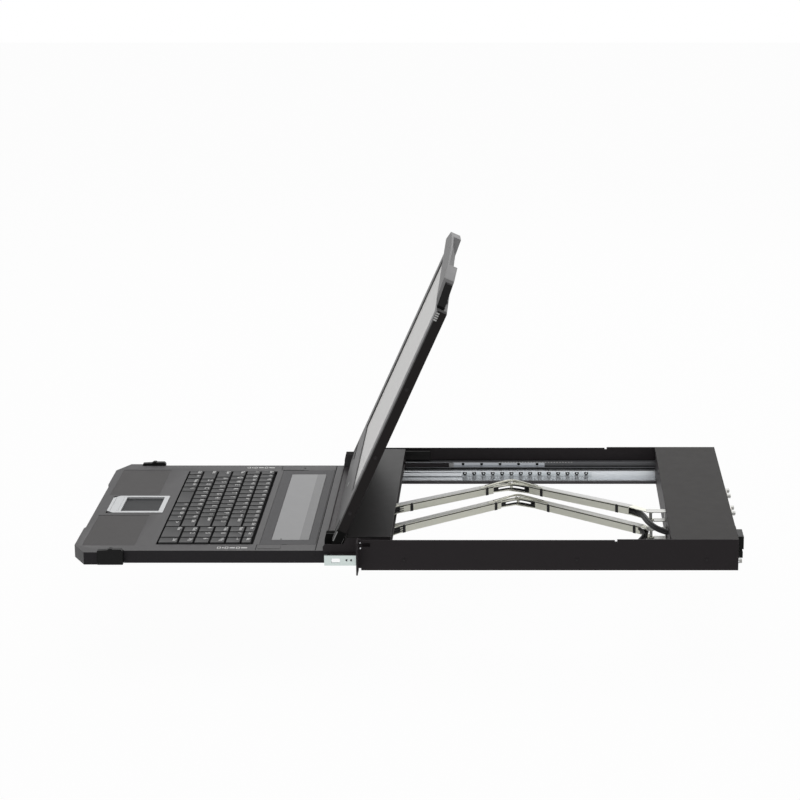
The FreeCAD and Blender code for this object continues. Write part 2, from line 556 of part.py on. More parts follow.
def touchpad():
    """The touchpad, its chamfered frame, and the two buttons in front of it."""
    corners = [("pad_left + pad_corner", "pad_front"), ("pad_right - pad_corner", "pad_front"),
               ("pad_right", "pad_front + pad_corner"), ("pad_right", "pad_back"), ("pad_left", "pad_back"),
               ("pad_left", "pad_front + pad_corner")]
    frame = outline("XY", corners, "pad_seat", "keyboard_high + pad_proud")
    through = ("pad_seat - 1", "keyboard_high + 2")
    hole = block(("pad_hole_left", "pad_hole_right"), ("pad_hole_front", "pad_hole_back"), through)
    slot = block(("pad_hole_left", "pad_hole_right"), ("button_front", "button_back"), through)
    node("touchpad_frame", cut(frame, hole, slot), OUT_KEYBOARD)
    lap_x = ("pad_left - pad_lap", "pad_right + pad_lap")
    lap_y = ("pad_front - pad_lap", "pad_back + pad_lap")
    lap = block(lap_x, lap_y, ("pad_seat - pad_back_sheet", "pad_seat"))
    inside = block(("pad_left - fit_gap", "pad_right + fit_gap"),
                   ("pad_front - fit_gap", "pad_back + fit_gap"), ("pad_seat - 1", "bezel_under + 1"))
    lip = cut(block(lap_x, lap_y, ("pad_seat", "bezel_under")), inside)
    surface = block(("pad_hole_left + fit_gap", "pad_hole_right - fit_gap"),
                    ("pad_hole_front + fit_gap", "pad_hole_back - fit_gap"),
                    ("pad_seat", "pad_seat + pad_sheet"))
    node("touchpad", fuse(lap, lip, surface), OUT_KEYBOARD)
    middle = "(pad_hole_left + pad_hole_right) / 2"
    for word, low, high in (("left", "pad_hole_left + fit_gap", middle + " - fit_gap"),
                            ("right", middle + " + fit_gap", "pad_hole_right - fit_gap")):
        button = block((low, high), ("button_front + fit_gap", "button_back - fit_gap"),
                       ("pad_seat + button_lift", "keyboard_high + pad_proud"))
        node("%s_pad_button" % word, button, OUT_KEYBOARD)


def keyboard_latches():
    """A catch in each side of the drawer, ramped towards the hand, with a crest for the thumb."""
    for word, side in SIDES:
        face = outline("YZ", [("latch_front", "keyboard_low"), ("latch_rear", "keyboard_low"),
                              ("latch_rear", "latch_shoulder"),
                              ("latch_rear - latch_back_slope", "latch_top"), ("latch_crest", "latch_top"),
                              ("latch_crest - latch_bump_rise / 4", "latch_bump"),
                              ("latch_crest - latch_bump_rise / 4 - latch_bump_long", "latch_bump"),
                              ("latch_crest - latch_bump_rise - latch_bump_long", "latch_ramp_high"),
                              ("latch_front", "latch_ramp_low")],
                       *mirror_span(side, "keyboard_half + latch_face", "keyboard_half + latch_reach"))
        root = block(mirror_span(side, "keyboard_half - latch_root", "keyboard_half + latch_face"),
                     ("latch_front", "latch_rear"), ("keyboard_low", "latch_root_top"))
        node("%s_keyboard_latch" % word, fuse(face, root), OUT_KEYBOARD)


def pin_slot(x, pin_y, z):
    """The slot that an arm's front pin rides in while its drawer moves."""
    return block(about(x, "arm_pin + arm_slot_gap"),
                 (pin_y + " - arm_slot + arm_slot_edge", pin_y + " + arm_pin + arm_slot_gap"), z)


def arm_plates():
    """The slotted plates that tie the keyboard drawer and the display tray to their cable arms."""
    x = "lower_arm_right"
    pin_y = "arm_root - lower_fold"
    low = "lower_arm_low + arm_height + arm_gap"
    plate = block(about(x, "arm_plate_half"), ("keyboard_rear", pin_y + " + arm_plate_end"),
                  (low, low + " + arm_plate_sheet"))
    tab = block(about(x, "arm_plate_half"), ("keyboard_rear", "keyboard_rear + arm_plate_sheet"),
                ("lower_arm_low + arm_tab_low", low))
    slot = pin_slot(x, pin_y, (low + " - 1", low + " + arm_plate_sheet + 1"))
    node("keyboard_arm_bracket", cut(fuse(plate, tab), slot), OUT_KEYBOARD)
    x = "arm_right"
    pin_y = "arm_root - upper_fold"
    plate = block(about(x, "arm_plate_half"),
                  (pin_y + " - arm_slot - arm_slot_edge", pin_y + " + arm_plate_end"),
                  ("tray_deck", "tray_deck + arm_plate_sheet"))
    slot = pin_slot(x, pin_y, ("tray_deck - 1", "tray_deck + arm_plate_sheet + 1"))
    node("tray_arm_bracket", cut(plate, slot), OUT_DISPLAY)


def key(x0, x1, y0, y1):
    """A tapered cap on a square stem, between two places along X and two along Y."""
    cap = doc.addObject("Part::Wedge", "Cap")
    cap.Placement = FreeCAD.Placement(FreeCAD.Vector(), FreeCAD.Rotation(FreeCAD.Vector(1, 0, 0), 90))
    wide = "(%s) - (%s) - key_gap" % (x1, x0)
    deep = "(%s) - (%s) - key_gap" % (y1, y0)
    bind(cap, Ymax="key_high - key_low", Xmax=wide, Zmax=deep, X2min="key_taper", Z2min="key_taper",
         X2max=wide + " - key_taper", Z2max=deep + " - key_taper")
    cap.Xmin = cap.Ymin = cap.Zmin = 0
    at(cap, "%s + key_gap / 2" % x0, "%s - key_gap / 2" % y1, "key_low")
    stem = block(about("(%s + %s) / 2" % (x0, x1), "stem_half"),
                 about("(%s + %s) / 2" % (y0, y1), "stem_half"), ("key_plate_low - 1", "key_low"))
    return fuse(cap, stem)


def key_place(rows):
    """The Y place of a number of key rows behind the first one's front edge."""
    return "first_row + %.2f * key_pitch" % rows


# each row lists its key widths in key units, from the left, and the rows go from front to back
MAIN_ROWS = [[1.08] * 5 + [2.92] + [1] * 3 + [1.34] * 2,
             [2.25] + [1] * 10 + [1.75],
             [1.75] + [1] * 10 + [2.25],
             [1.5] + [1] * 11 + [1.5],
             [1] * 12 + [2]]
# the number block is set back by part of a row: its rows' front edges, in rows, and its key widths
NUMBER_EDGES = [0, 1.3, 2.3, 3.3, 4.3, 5.3, 6]
NUMBER_ROWS = [[2, 1]] + [[1, 1, 1]] * 5


def key_rows():
    """The keys, and the plate below them whose slots their stems run in."""
    def line_of(widths, start, unit, front, back):
        keys = []
        place = 0
        for width in widths:
            keys.append(key("%s + %.2f * %s" % (start, place, unit),
                            "%s + %.2f * %s" % (start, place + width, unit),
                            key_place(front), key_place(back)))
            place += width
        return keys
    start = "key_well_left + key_margin"
    main = []
    for i, widths in enumerate(MAIN_ROWS):
        main += line_of(widths, start, "key_unit", i, i + 1)
    node("main_keys", group(*main), OUT_KEYBOARD)
    node("function_keys", group(*line_of([1] * 14, start, "key_unit", 5, 6)), OUT_KEYBOARD)
    numbers = []
    slots = []

    def stem_slot(start, end, rows):
        middle = key_place(rows)
        slots.append(block((start, end), about(middle, "stem_half + stem_gap"),
                           ("key_plate_low - 1", "key_plate_top + 1")))
    for i, widths in enumerate(NUMBER_ROWS):
        front, back = NUMBER_EDGES[i], NUMBER_EDGES[i + 1]
        numbers += line_of(widths, "number_block", "number_unit", front, back)
        stem_slot("number_block + key_margin", "key_well_right - key_margin", (front + back) / 2)
        stem_slot("key_well_left + key_margin", "number_block - key_margin", i + 0.5)
    node("number_keys", group(*numbers), OUT_KEYBOARD)
    rim = "key_plate_lap + key_plate_rim"
    tray = block(("key_well_left - " + rim.replace("+", "-"), "key_well_right + " + rim),
                 ("key_well_front - " + rim.replace("+", "-"), "key_well_back + " + rim),
                 ("key_plate_low", "bezel_under"))
    room = block(("key_well_left - key_plate_lap", "key_well_right + key_plate_lap"),
                 ("key_well_front - key_plate_lap", "key_well_back + key_plate_lap"),
                 ("key_plate_top", "bezel_under + 1"))
    node("key_plate", cut(tray, room, *slots), OUT_KEYBOARD)


def display_tray():
    """The sheet tray that carries the hinges and hangs between the upper slides."""
    run = ("tray_front", "tray_rear")
    pieces = [block(about("0", "tray_floor_half"), run, ("tray_floor", "tray_deck")),
              block(about("0", "tray_floor_half"), ("tray_front", "tray_front + sheet_metal"),
                    ("tray_floor", "tray_deck + tray_lip"))]
    for word, side in SIDES:
        # the floor steps up at each side, so that the drawer's catches pass below it
        shelf_top = "tray_shelf + sheet_metal"
        pieces.append(block(mirror_span(side, "tray_floor_half - sheet_metal", "tray_floor_half"), run,
                            ("tray_floor", shelf_top)))
        pieces.append(block(mirror_span(side, "tray_floor_half", "tray_inside"), run,
                            ("tray_shelf", shelf_top)))
        pieces.append(outline("YZ", [("tray_front", "tray_floor"), ("tray_front + foot_start", "tray_floor"),
                                     ("tray_front + foot_start", "tray_foot"), ("tray_rear", "tray_foot"),
                                     ("tray_rear", "cover_under"),
                                     ("tray_front + cover_start", "cover_under"),
                                     ("tray_front + cover_start - cheek_slope", "tray_notch_top"),
                                     ("tray_front + cheek_corner", "tray_notch_top"),
                                     ("tray_front", "tray_notch_top - cheek_corner")],
                              *mirror_span(side, "tray_inside", "tray_half")))
    node("tray_frame", fuse(*pieces), OUT_DISPLAY)
    cover_front = "tray_front + cover_start"
    top = block(about("0", "tray_half"), (cover_front, "tray_rear"), ("cover_under", "chassis_height"))
    hem = block(about("0", "tray_inside"), (cover_front, cover_front + " + sheet_metal"),
                ("cover_under - 2 * sheet_metal", "cover_under"))
    node("tray_cover", fuse(top, hem), OUT_DISPLAY)
    for word, side in SIDES:
        middle = "bracket_in + bracket_wide / 2"
        near, far = about(middle, "bracket_wide / 2")
        front = "tray_front + bracket_front"
        rear = "hinge_y + bracket_behind"
        body = outline("YZ", [(front, "tray_deck"), (rear, "tray_deck"),
                              (rear, "chassis_height - bracket_corner"),
                              (rear + " - bracket_corner", "chassis_height"),
                              (front + " + bracket_corner", "chassis_height"),
                              (front, "chassis_height - bracket_chamfer")], *mirror_span(side, near, far))
        slot = block(mirror_span(side, *about(middle, "bracket_slot / 2")), ("tray_front", rear + " + 1"),
                     ("tray_deck + bracket_floor", "chassis_height + 1"))
        bore = rod("x", "pin_radius + running_gap", "bracket_wide + 2",
                   mirror_span(side, near + " - 1", far + " + 1")[0], "hinge_y", "hinge_height")
        node("%s_hinge_bracket" % word, cut(body, slot, bore), OUT_DISPLAY)


def lid_notches():
    """The two openings at the lid's root that the hinge brackets stand in."""
    return [block(mirror_span(side, "bracket_in - notch_gap", "bracket_in + bracket_wide + notch_gap"),
                  ("0 - notch_deep", "lid_back + 1"), ("0 - lid_face - 1", "lid_back + 1"))
            for word, side in SIDES]


def lid_grip():
    """The moulded grip along the lid's free edge: bowed, scooped behind for the fingers, thick in front."""
    half = "lid_half"
    section = outline("YZ", [("0 - lid_steel_end", "lid_back"), ("0 - lid_steel_end", "0 - lid_face"),
                             ("0 - lid_steel_end - grip_ramp", "0 - lid_grip"),
                             ("0 - grip_end", "0 - lid_grip"), ("0 - grip_end", "grip_back"),
                             ("0 - lid_steel_end - grip_ramp", "grip_back")],
                      "0 - lid_half", half)
    right = [(half, "0 - lid_steel_end"), (half, "0 - lid_end + grip_corner_deep"),
             (half + " - grip_corner_wide", "0 - lid_end + grip_corner_step"),
             ("grip_bow_half", "0 - lid_end - grip_bow_side"),
             ("grip_bow_half / 4", "0 - lid_end - grip_bow")]
    whole = right + [("0 - (%s)" % x, y) for x, y in reversed(right)]
    plan = outline("XY", whole, "0 - lid_grip - 1", "lid_back + 1")
    lip = "0 - lid_grip + scoop_lip"
    above = "grip_back + 1"
    floor = "0 - lid_end + scoop_deep"
    wedge = outline("YZ", [("0 - grip_end", lip), ("0 - lid_end", lip), (floor, above),
                           ("0 - grip_end", above)], "0 - scoop_half", "scoop_half")
    mouth = outline("XY", [("0 - scoop_half", "0 - grip_end"), ("scoop_half", "0 - grip_end"),
                           ("scoop_floor_half", floor), ("0 - scoop_floor_half", floor)],
                    "0 - lid_grip", above)
    pockets = [block(mirror_span(side, "lid_half - catch_wide - catch_room", "lid_half + 1"),
                     ("0 - grip_end - 1", "0 - catch_side"), ("0 - lid_grip + catch_skin", "lid_back + 1"))
               for word, side in SIDES]
    return cut(common(section, plan), common(wedge, mouth), *pockets)


def display_lid():
    """The hinged display: steel back, moulded bezel with its grip, glass and panel."""
    half = "lid_half"
    across = about("0", half)
    back = block(across, ("0 - lid_steel_end", "0 - lid_root"), ("bezel_back", "lid_back"))
    room = block(about("0", "lid_half - lid_sheet"), ("0 - lid_steel_end - 1", "0 - lid_root - lid_sheet"),
                 ("bezel_back - 1", "lid_back - lid_sheet"))
    lid_node("lid_back", cut(back, room, *lid_notches()))
    face = block(across, ("0 - lid_steel_end", "0 - lid_root"), ("0 - lid_face", "bezel_back"))
    opening = block(about("0", "screen_half"), ("0 - screen_end", "0 - screen_start"),
                    ("0 - lid_face - 1", "bezel_back + 1"))
    root = block(across, ("0 - lid_root", "0"), ("0 - lid_back", "lid_back"))
    chin = block(across, ("0 - lid_root", "0"), ("0 - lid_face", "0"))
    barrel = rod("x", "lid_back", "2 * lid_half", "0 - lid_half", "0", "0")
    bore = rod("x", "pin_radius + bore_gap", "2 * lid_half + 2", "0 - lid_half - 1", "0", "0")
    hinge_edge = cut(fuse(root, chin, barrel), bore)
    lid_node("lid_bezel", cut(fuse(cut(face, opening), lid_grip(), hinge_edge), *lid_notches()))
    glass_run = ("0 - screen_end - glass_lap", "0 - screen_start + glass_lap")
    lid_node("screen_glass", block(about("0", "screen_half + glass_lap"), glass_run,
                                   ("bezel_back", "bezel_back + glass_sheet")))
    lid_node("lcd_panel", block(about("0", "screen_half + 2 * glass_lap"), glass_run,
                                ("bezel_back + glass_sheet", "panel_top")))
    pins = []
    heads = []
    for word, side in SIDES:
        near, far = mirror_span(side, "bracket_in - pin_lap", "bracket_in + bracket_wide + pin_lap")
        pins.append(rod("x", "pin_radius", "bracket_wide + 2 * pin_lap", near, "0", "0"))
        for place in ("lid_screw_first", "lid_screw_second", "lid_screw_third"):
            start = mirror_span(side, half, half + " + lid_screw_head")[0]
            heads.append(peg("x", 12, "lid_screw_radius", "lid_screw_head", start, "0 - " + place,
                             "0 - lid_screw_low"))
    lid_node("hinge_pins", group(*pins))
    lid_node("lid_screws", group(*heads))
    for word, side in SIDES:
        sign = "" if side > 0 else "0 - "
        inner = sign + "(lid_half - catch_wide)"
        outer_edge = sign + "(lid_half)"
        root = "0 - catch_side - catch_gap"
        slope_start = "0 - lid_end + grip_corner_deep"
        catch = outline("XY", [(inner, root), (outer_edge, root), (outer_edge, slope_start),
                               (inner, slope_start + " - grip_slope * catch_wide")],
                        "0 - lid_grip + catch_skin + catch_gap", "grip_back")
        lid_node("%s_lid_latch" % word, catch)


def arm_link(level, word, first_strap, last_strap):
    """One channel of a folding arm, drawn along X from its first pivot; outer straps go round inner ones."""
    front = word == "front"
    low = level + "_arm_low"
    high = low + " + arm_height"
    edge_in = "0 - channel_offset + channel_wide / 2"
    edge_out = "0 - channel_offset - channel_wide / 2"
    run = (first_strap, "arm_length - " + last_strap)
    pieces = [block(run, (edge_in + " - arm_sheet", edge_in), (low, high))]
    for edge in (low, high + " - arm_sheet"):
        pieces.append(block(run, (edge_out, edge_in), (edge, edge + " + arm_sheet")))
    for edge in (low + " + arm_sheet", high + " - 2.5 * arm_sheet"):
        pieces.append(block(run, (edge_out, edge_out + " + arm_sheet"), (edge, edge + " + 1.5 * arm_sheet")))
    for end, pivot in enumerate(("0", "arm_length")):
        knee = (end == 0) if front else (end == 1)
        inset = "(arm_sheet + arm_gap)" if (front and knee) else "0"
        shoulder = run[end]
        inner = shoulder + (" + strap_lap" if end == 0 else " - strap_lap")
        for level_z in ("%s + %s" % (low, inset), "%s - %s - arm_sheet" % (high, inset)):
            pieces.append(outline("XY", [(pivot, "0 - strap_half"), (shoulder, edge_out), (inner, edge_out),
                                         (inner, edge_in + " - arm_sheet / 2"),
                                         (shoulder, edge_in + " - arm_sheet / 2"), (pivot, "strap_half")],
                                  level_z, level_z + " + arm_sheet"))
            pieces.append(peg("z", 16, "strap_half", "arm_sheet", pivot, "0", level_z))
    first_hole = rod("z", "arm_pin + running_gap", "arm_height + 2", "0", "0", low + " - 1")
    if front:
        # the pin at the far end rides in the slotted plate of the drawer that the arm follows
        start = low + " - pin_drop" if level == "upper" else high
        pieces.append(rod("z", "arm_pin", "pin_drop", "arm_length", "0", start))
    else:
        pieces.append(rod("z", "arm_pin", "arm_height", "arm_length", "0", low))
    link = cut(fuse(*pieces), first_hole)
    link.Label = "%s_%s_link" % (level, word)
    place_link(link, level, front)
    # the cable lies against the web, on the channel's lower leg or on the strap inside it
    rest = " + 2 * arm_sheet + arm_gap" if front else " + arm_sheet"
    first_stub = "cable_stub" if front else first_strap + " / 2"
    last_stub = last_strap + " / 2" if front else "cable_stub"
    cable = rod("x", "cable_radius", "%s + %s - (%s) + %s" % (run[1], last_stub, run[0], first_stub),
                "%s - %s" % (run[0], first_stub), edge_in + " - arm_sheet - cable_radius - running_gap",
                low + rest + " + cable_radius + running_gap")
    cable = held(cable)
    cable.Label = "%s_%s_cable" % (level, word)
    place_link(cable, level, front)


def place_link(thing, level, front):
    """Turn a link about its first pivot to where the drawn-out drawer holds it."""
    NODES.append(thing)
    reach = level + "_reach"
    root_x = "arm_right" if level == "upper" else "lower_arm_right"
    bend = "asin((%s) / 2 / arm_length) / 1 deg" % reach
    angle = "0 - " + bend if front else "180 + " + bend
    thing.Placement = FreeCAD.Placement(FreeCAD.Vector(), FreeCAD.Rotation(FreeCAD.Vector(0, 0, 1), 45))
    if front:
        across = "%s - arm_length * cos(asin((%s) / 2 / arm_length))" % (root_x, reach)
        at(thing, across, "arm_root - (%s) / 2" % reach, "base")
    else:
        at(thing, root_x, "arm_root", "base")
    bind(thing, Placement__Rotation__Angle=angle)


def cable_arms():
    """Two stacked folding arms: the upper one follows the display and the lower one the keyboard."""
    for level in ("upper", "lower"):
        arm_link(level, "rear", level + "_root_strap", "knee_strap")
        arm_link(level, "front", "knee_strap", level + "_front_strap")


side_walls()
slides()
strikes()
rear_housing()
electronics()
arm_roots()
keyboard_shell()
touchpad()
keyboard_latches()
arm_plates()
key_rows()
display_tray()
display_lid()
cable_arms()
doc.recompute()

for item in doc.Objects:
    if "Invalid" in item.State or "Error" in item.State:
        raise RuntimeError("%s (%s) did not build: %s" % (item.Name, item.Label, item.State))
os.makedirs("parts", exist_ok=True)
for item in NODES:
    if item.Shape.isNull() or not item.Shape.isValid() or not item.Shape.Solids:
        raise RuntimeError("%s has no valid solid" % item.Label)
    item.Shape.exportStep("parts/%s.step" % item.Label)
print(len(NODES), "nodes written")
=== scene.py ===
# Looks of the rack console drawer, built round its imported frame.
# Metres, in the frame's own axes: +X to the right of someone at the keyboard, +Y into the rack, +Z up.
import json
import math

import bmesh
import bpy
from mathutils import Matrix, Vector


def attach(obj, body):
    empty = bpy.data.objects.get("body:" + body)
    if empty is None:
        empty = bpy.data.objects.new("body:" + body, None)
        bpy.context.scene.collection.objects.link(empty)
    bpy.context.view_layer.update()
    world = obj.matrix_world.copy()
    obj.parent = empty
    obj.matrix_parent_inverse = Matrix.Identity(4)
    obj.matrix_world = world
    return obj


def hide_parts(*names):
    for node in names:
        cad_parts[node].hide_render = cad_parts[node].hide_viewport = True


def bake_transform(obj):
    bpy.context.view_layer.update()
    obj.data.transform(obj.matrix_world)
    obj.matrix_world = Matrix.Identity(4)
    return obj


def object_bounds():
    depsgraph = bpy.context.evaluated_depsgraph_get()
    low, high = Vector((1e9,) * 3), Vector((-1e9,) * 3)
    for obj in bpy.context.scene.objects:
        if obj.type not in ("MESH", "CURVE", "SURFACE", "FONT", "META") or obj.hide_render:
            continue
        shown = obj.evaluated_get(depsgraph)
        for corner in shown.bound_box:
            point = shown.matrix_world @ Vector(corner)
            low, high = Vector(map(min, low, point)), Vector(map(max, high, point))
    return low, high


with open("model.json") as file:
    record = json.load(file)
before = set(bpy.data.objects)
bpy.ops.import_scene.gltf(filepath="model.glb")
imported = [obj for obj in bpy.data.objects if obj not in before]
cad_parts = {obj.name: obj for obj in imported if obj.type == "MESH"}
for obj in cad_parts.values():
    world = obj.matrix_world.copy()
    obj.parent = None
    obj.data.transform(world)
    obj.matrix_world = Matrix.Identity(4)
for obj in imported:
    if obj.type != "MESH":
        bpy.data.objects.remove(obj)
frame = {"nodes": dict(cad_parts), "record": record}

CAD_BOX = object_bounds()
MM = 0.001
UPWARD = (0, 0, 1)
BACKWARD = (0, 1, 0)
SIDEWAYS = (1, 0, 0)
SIDES = (("right", 1), ("left", -1))

# The camera stands where the photograph was taken, looking across the chassis and a little down.
LENS = 113.04
FRAME_WIDE = 36.0
SHIFT_ASIDE = -0.1569
CAMERA_AT = (3.309, 0.2157, 1.0142)
PITCH = math.radians(14.66)
SIGHT = 60


def camera():
    data = bpy.data.cameras.new("Camera")
    data.lens = LENS
    data.sensor_width = FRAME_WIDE
    data.shift_x = SHIFT_ASIDE
    data.clip_end = SIGHT
    thing = bpy.data.objects.new("Camera", data)
    bpy.context.collection.objects.link(thing)
    right = Vector((0, 1, 0))
    up = Vector((-math.sin(PITCH), 0, math.cos(PITCH)))
    back = Vector((math.cos(PITCH), 0, math.sin(PITCH)))
    thing.matrix_world = Matrix.Translation(CAMERA_AT) @ Matrix((right, up, back)).transposed().to_4x4()
    bpy.context.scene.camera = thing


# Materials

# a noise stays mostly between these two values
NOISE_LOW = 0.3
NOISE_HIGH = 0.7
# how detailed the noises of colour, gloss and grain are, and how much finer the gloss is than the colour
CLOUD_DETAIL = 5.0
GLOSS_DETAIL = 6.0
GRAIN_DETAIL = 2.0
GLOSS_FINER = 3
BUMP_REACH = 0.0001


class Nodes:
    """A small helper that adds shader nodes and joins their sockets."""

    def __init__(self, tree):
        self.tree = tree
        tree.nodes.clear()

    def add(self, kind, **settings):
        made = self.tree.nodes.new(kind)
        for key, value in settings.items():
            if key in made.inputs:
                made.inputs[key].default_value = value
            else:
                setattr(made, key, value)
        return made

    def join(self, source, out, target, into):
        self.tree.links.new(source.outputs[out], target.inputs[into])


def blank(name):
    made = bpy.data.materials.new(name)
    made.use_nodes = True
    return made, Nodes(made.node_tree)


def noise(net, scale, detail):
    """A noise in the object's own space."""
    place = net.add("ShaderNodeTexCoord")
    texture = net.add("ShaderNodeTexNoise", Scale=scale, Detail=detail)
    net.join(place, "Object", texture, "Vector")
    return texture


def ranged(net, source, low, high):
    """A noise spread over a range."""
    spread = net.add("ShaderNodeMapRange")
    spread.inputs["From Min"].default_value = NOISE_LOW
    spread.inputs["From Max"].default_value = NOISE_HIGH
    spread.inputs["To Min"].default_value = low
    spread.inputs["To Max"].default_value = high
    net.join(source, "Fac", spread, "Value")
    return spread


def clouded(net, body, scale, detail, first, second):
    """Let a body's colour drift between two shades."""
    mix = net.add("ShaderNodeMix", data_type="RGBA")
    mix.inputs["A"].default_value = (*first, 1)
    mix.inputs["B"].default_value = (*second, 1)
    net.join(noise(net, scale, detail), "Fac", mix, "Factor")
    net.join(mix, "Result", body, "Base Color")


def surface(name, colour, rough, metal=0.0, grain=1600.0, depth=0.12, cloud=22.0, shade=0.12,
            rough_spread=0.012, specular=0.5):
    """A painted, moulded or plated surface: grain in its bump, and slow clouds in its colour and gloss."""
    made, net = blank(name)
    out = net.add("ShaderNodeOutputMaterial")
    body = net.add("ShaderNodeBsdfPrincipled")
    body.inputs["Metallic"].default_value = metal
    body.inputs["Specular IOR Level"].default_value = specular
    dark = [part * (1 - shade) for part in colour]
    pale = [min(1, part * (1 + shade)) for part in colour]
    clouded(net, body, cloud, CLOUD_DETAIL, dark, pale)
    fine = noise(net, cloud * GLOSS_FINER, GLOSS_DETAIL)
    gloss = ranged(net, fine, rough - rough_spread, rough + rough_spread)
    net.join(gloss, "Result", body, "Roughness")
    bump = net.add("ShaderNodeBump", Strength=depth, Distance=BUMP_REACH)
    net.join(noise(net, grain, GRAIN_DETAIL), "Fac", bump, "Height")
    net.join(bump, "Normal", body, "Normal")
    net.join(body, "BSDF", out, "Surface")
    return made


SCREEN_GREY = (0.40, 0.39, 0.375)
SCREEN_PALE = (0.44, 0.43, 0.415)
SCREEN_CLOUD = 5.0


def screen_surface():
    """The screen's anti-glare front: an even warm grey with a soft sheen."""
    made, net = blank("screen")
    out = net.add("ShaderNodeOutputMaterial")
    body = net.add("ShaderNodeBsdfPrincipled")
    body.inputs["Specular IOR Level"].default_value = 0.6
    body.inputs["Roughness"].default_value = 0.26
    clouded(net, body, SCREEN_CLOUD, GRAIN_DETAIL, SCREEN_GREY, SCREEN_PALE)
    net.join(body, "BSDF", out, "Surface")
    return made


BLACK_COAT = surface("black powder coat", (0.026, 0.022, 0.024), 0.50, grain=2600.0, depth=0.25, shade=0.03,
                     specular=0.16)
COVER_COAT = surface("black cover coat", (0.016, 0.014, 0.013), 0.50, grain=2600.0, depth=0.2, shade=0.02,
                     specular=0.06)
TRAY_COAT = surface("black tray coat", (0.010, 0.009, 0.009), 0.44, grain=2600.0, depth=0.2, shade=0.02,
                    specular=0.11)
LID_COAT = surface("black lid coat", (0.014, 0.012, 0.012), 0.48, grain=2600.0, depth=0.3, shade=0.05,
                   specular=0.14)
ZINC = surface("zinc plate", (0.84, 0.86, 0.88), 0.32, metal=1.0, grain=500.0, depth=0.04, cloud=14.0,
               shade=0.03, rough_spread=0.03)
CAGE_STEEL = surface("cage steel", (0.50, 0.52, 0.55), 0.36, metal=1.0, grain=700.0, depth=0.05, cloud=20.0,
                     shade=0.04)
BALL_STEEL = surface("ball steel", (0.80, 0.80, 0.80), 0.12, metal=1.0, grain=400.0, depth=0.02, shade=0.02,
                     rough_spread=0.02)
DARK_RAIL = surface("dark rail steel", (0.150, 0.152, 0.160), 0.36, metal=0.5, grain=900.0, depth=0.08,
                    shade=0.05)
BEZEL = surface("moulded dark grey", (0.077, 0.075, 0.077), 0.52, grain=3200.0, depth=0.35, shade=0.03,
                specular=0.22)
# the keyboard's side faces: the bezel's own moulding, darkened as painted shade
SHADED_BEZEL_SIDE = surface("moulded side, painted shade", (0.030, 0.028, 0.031), 0.55, grain=3200.0, depth=0.45, shade=0.04,
                     specular=0.12)
PANEL_GREY = surface("panel grey", (0.062, 0.061, 0.064), 0.55, grain=3200.0, depth=0.35, shade=0.03,
                     specular=0.15)
DEEP_BLACK = surface("deep black", (0.006, 0.006, 0.006), 0.60, grain=2400.0, depth=0.3, shade=0.03,
                     specular=0.05)
STRIKE_ZINC = surface("strike plate", (0.62, 0.69, 0.67), 0.34, metal=1.0, grain=500.0, depth=0.04,
                      cloud=14.0, shade=0.04)
LOWER_CAGE = surface("lower cage steel", (0.74, 0.77, 0.79), 0.34, metal=1.0, grain=700.0, depth=0.03,
                     cloud=20.0, shade=0.03)
HARDWARE = surface("bracket steel", (0.46, 0.46, 0.44), 0.42, metal=0.6, grain=900.0, depth=0.08, shade=0.04)
POLISHED = surface("polished steel", (0.97, 0.98, 0.98), 0.18, metal=1.0, grain=500.0, depth=0.02, shade=0.01)
LID_BEZEL = surface("moulded lid grey", (0.125, 0.123, 0.124), 0.50, grain=3200.0, depth=0.3, shade=0.03,
                    specular=0.3)
KEYCAP = surface("keycap", (0.030, 0.030, 0.031), 0.48, grain=2800.0, depth=0.3, shade=0.04, specular=0.2)
WELL = surface("key well", (0.008, 0.008, 0.008), 0.65, grain=1800.0, depth=0.2, specular=0.1)
MOULDED_BLACK = surface("moulded black", (0.012, 0.012, 0.012), 0.50, grain=2400.0, depth=0.35,
                        specular=0.14)
PALM = surface("palm rest", (0.056, 0.053, 0.053), 0.55, grain=3200.0, depth=0.45, shade=0.04,
               specular=0.18)
SILVER = surface("silver lacquer", (0.62, 0.63, 0.64), 0.36, metal=0.35, grain=2400.0, depth=0.10, shade=0.03)
PAD = surface("touch surface", (0.022, 0.023, 0.025), 0.48, grain=3600.0, depth=0.2, shade=0.02,
              specular=0.12)
STRIP = surface("grey inlay", (0.255, 0.255, 0.26), 0.42, grain=1500.0, depth=0.05, shade=0.02, specular=0.3)
STRIP_DARK = surface("darker inlay", (0.165, 0.165, 0.168), 0.42, grain=1500.0, depth=0.05, shade=0.02,
                     specular=0.3)
NICKEL = surface("nickel shell", (0.62, 0.61, 0.60), 0.26, metal=1.0, grain=600.0, depth=0.05, shade=0.04)
GOLD = surface("gold contact", (0.75, 0.55, 0.24), 0.25, metal=1.0, grain=600.0, depth=0.05, shade=0.04)
BOARD = surface("solder mask", (0.02, 0.11, 0.05), 0.38, grain=700.0, depth=0.3, shade=0.25)
PANEL = surface("display module", (0.05, 0.05, 0.055), 0.4, grain=700.0, depth=0.1)
CREAM = surface("plated channel", (0.80, 0.80, 0.70), 0.40, metal=0.35, grain=900.0, depth=0.08, cloud=16.0,
                shade=0.03)
LIP = surface("bright lip", (0.74, 0.74, 0.72), 0.40, grain=900.0, depth=0.05, cloud=16.0, shade=0.03,
              specular=0.2)
SHEATH = surface("cable sheath", (0.014, 0.014, 0.015), 0.5, grain=1400.0, depth=0.25, specular=0.3)
MARKING = surface("white marking", (0.74, 0.74, 0.73), 0.6, grain=900.0, depth=0.05, shade=0.02, specular=0.2)
FAINT = surface("faint slot", (0.05, 0.05, 0.05), 0.6, grain=900.0, depth=0.05, shade=0.02, specular=0.1)
# pale grey: the runner ends, and the painted highlight on the lid's hinge bars
PALE_PIECE_AND_HIGHLIGHT = surface("pale piece and painted highlight", (0.42, 0.42, 0.42), 0.6, grain=900.0, depth=0.05, shade=0.02,
                       specular=0.2)
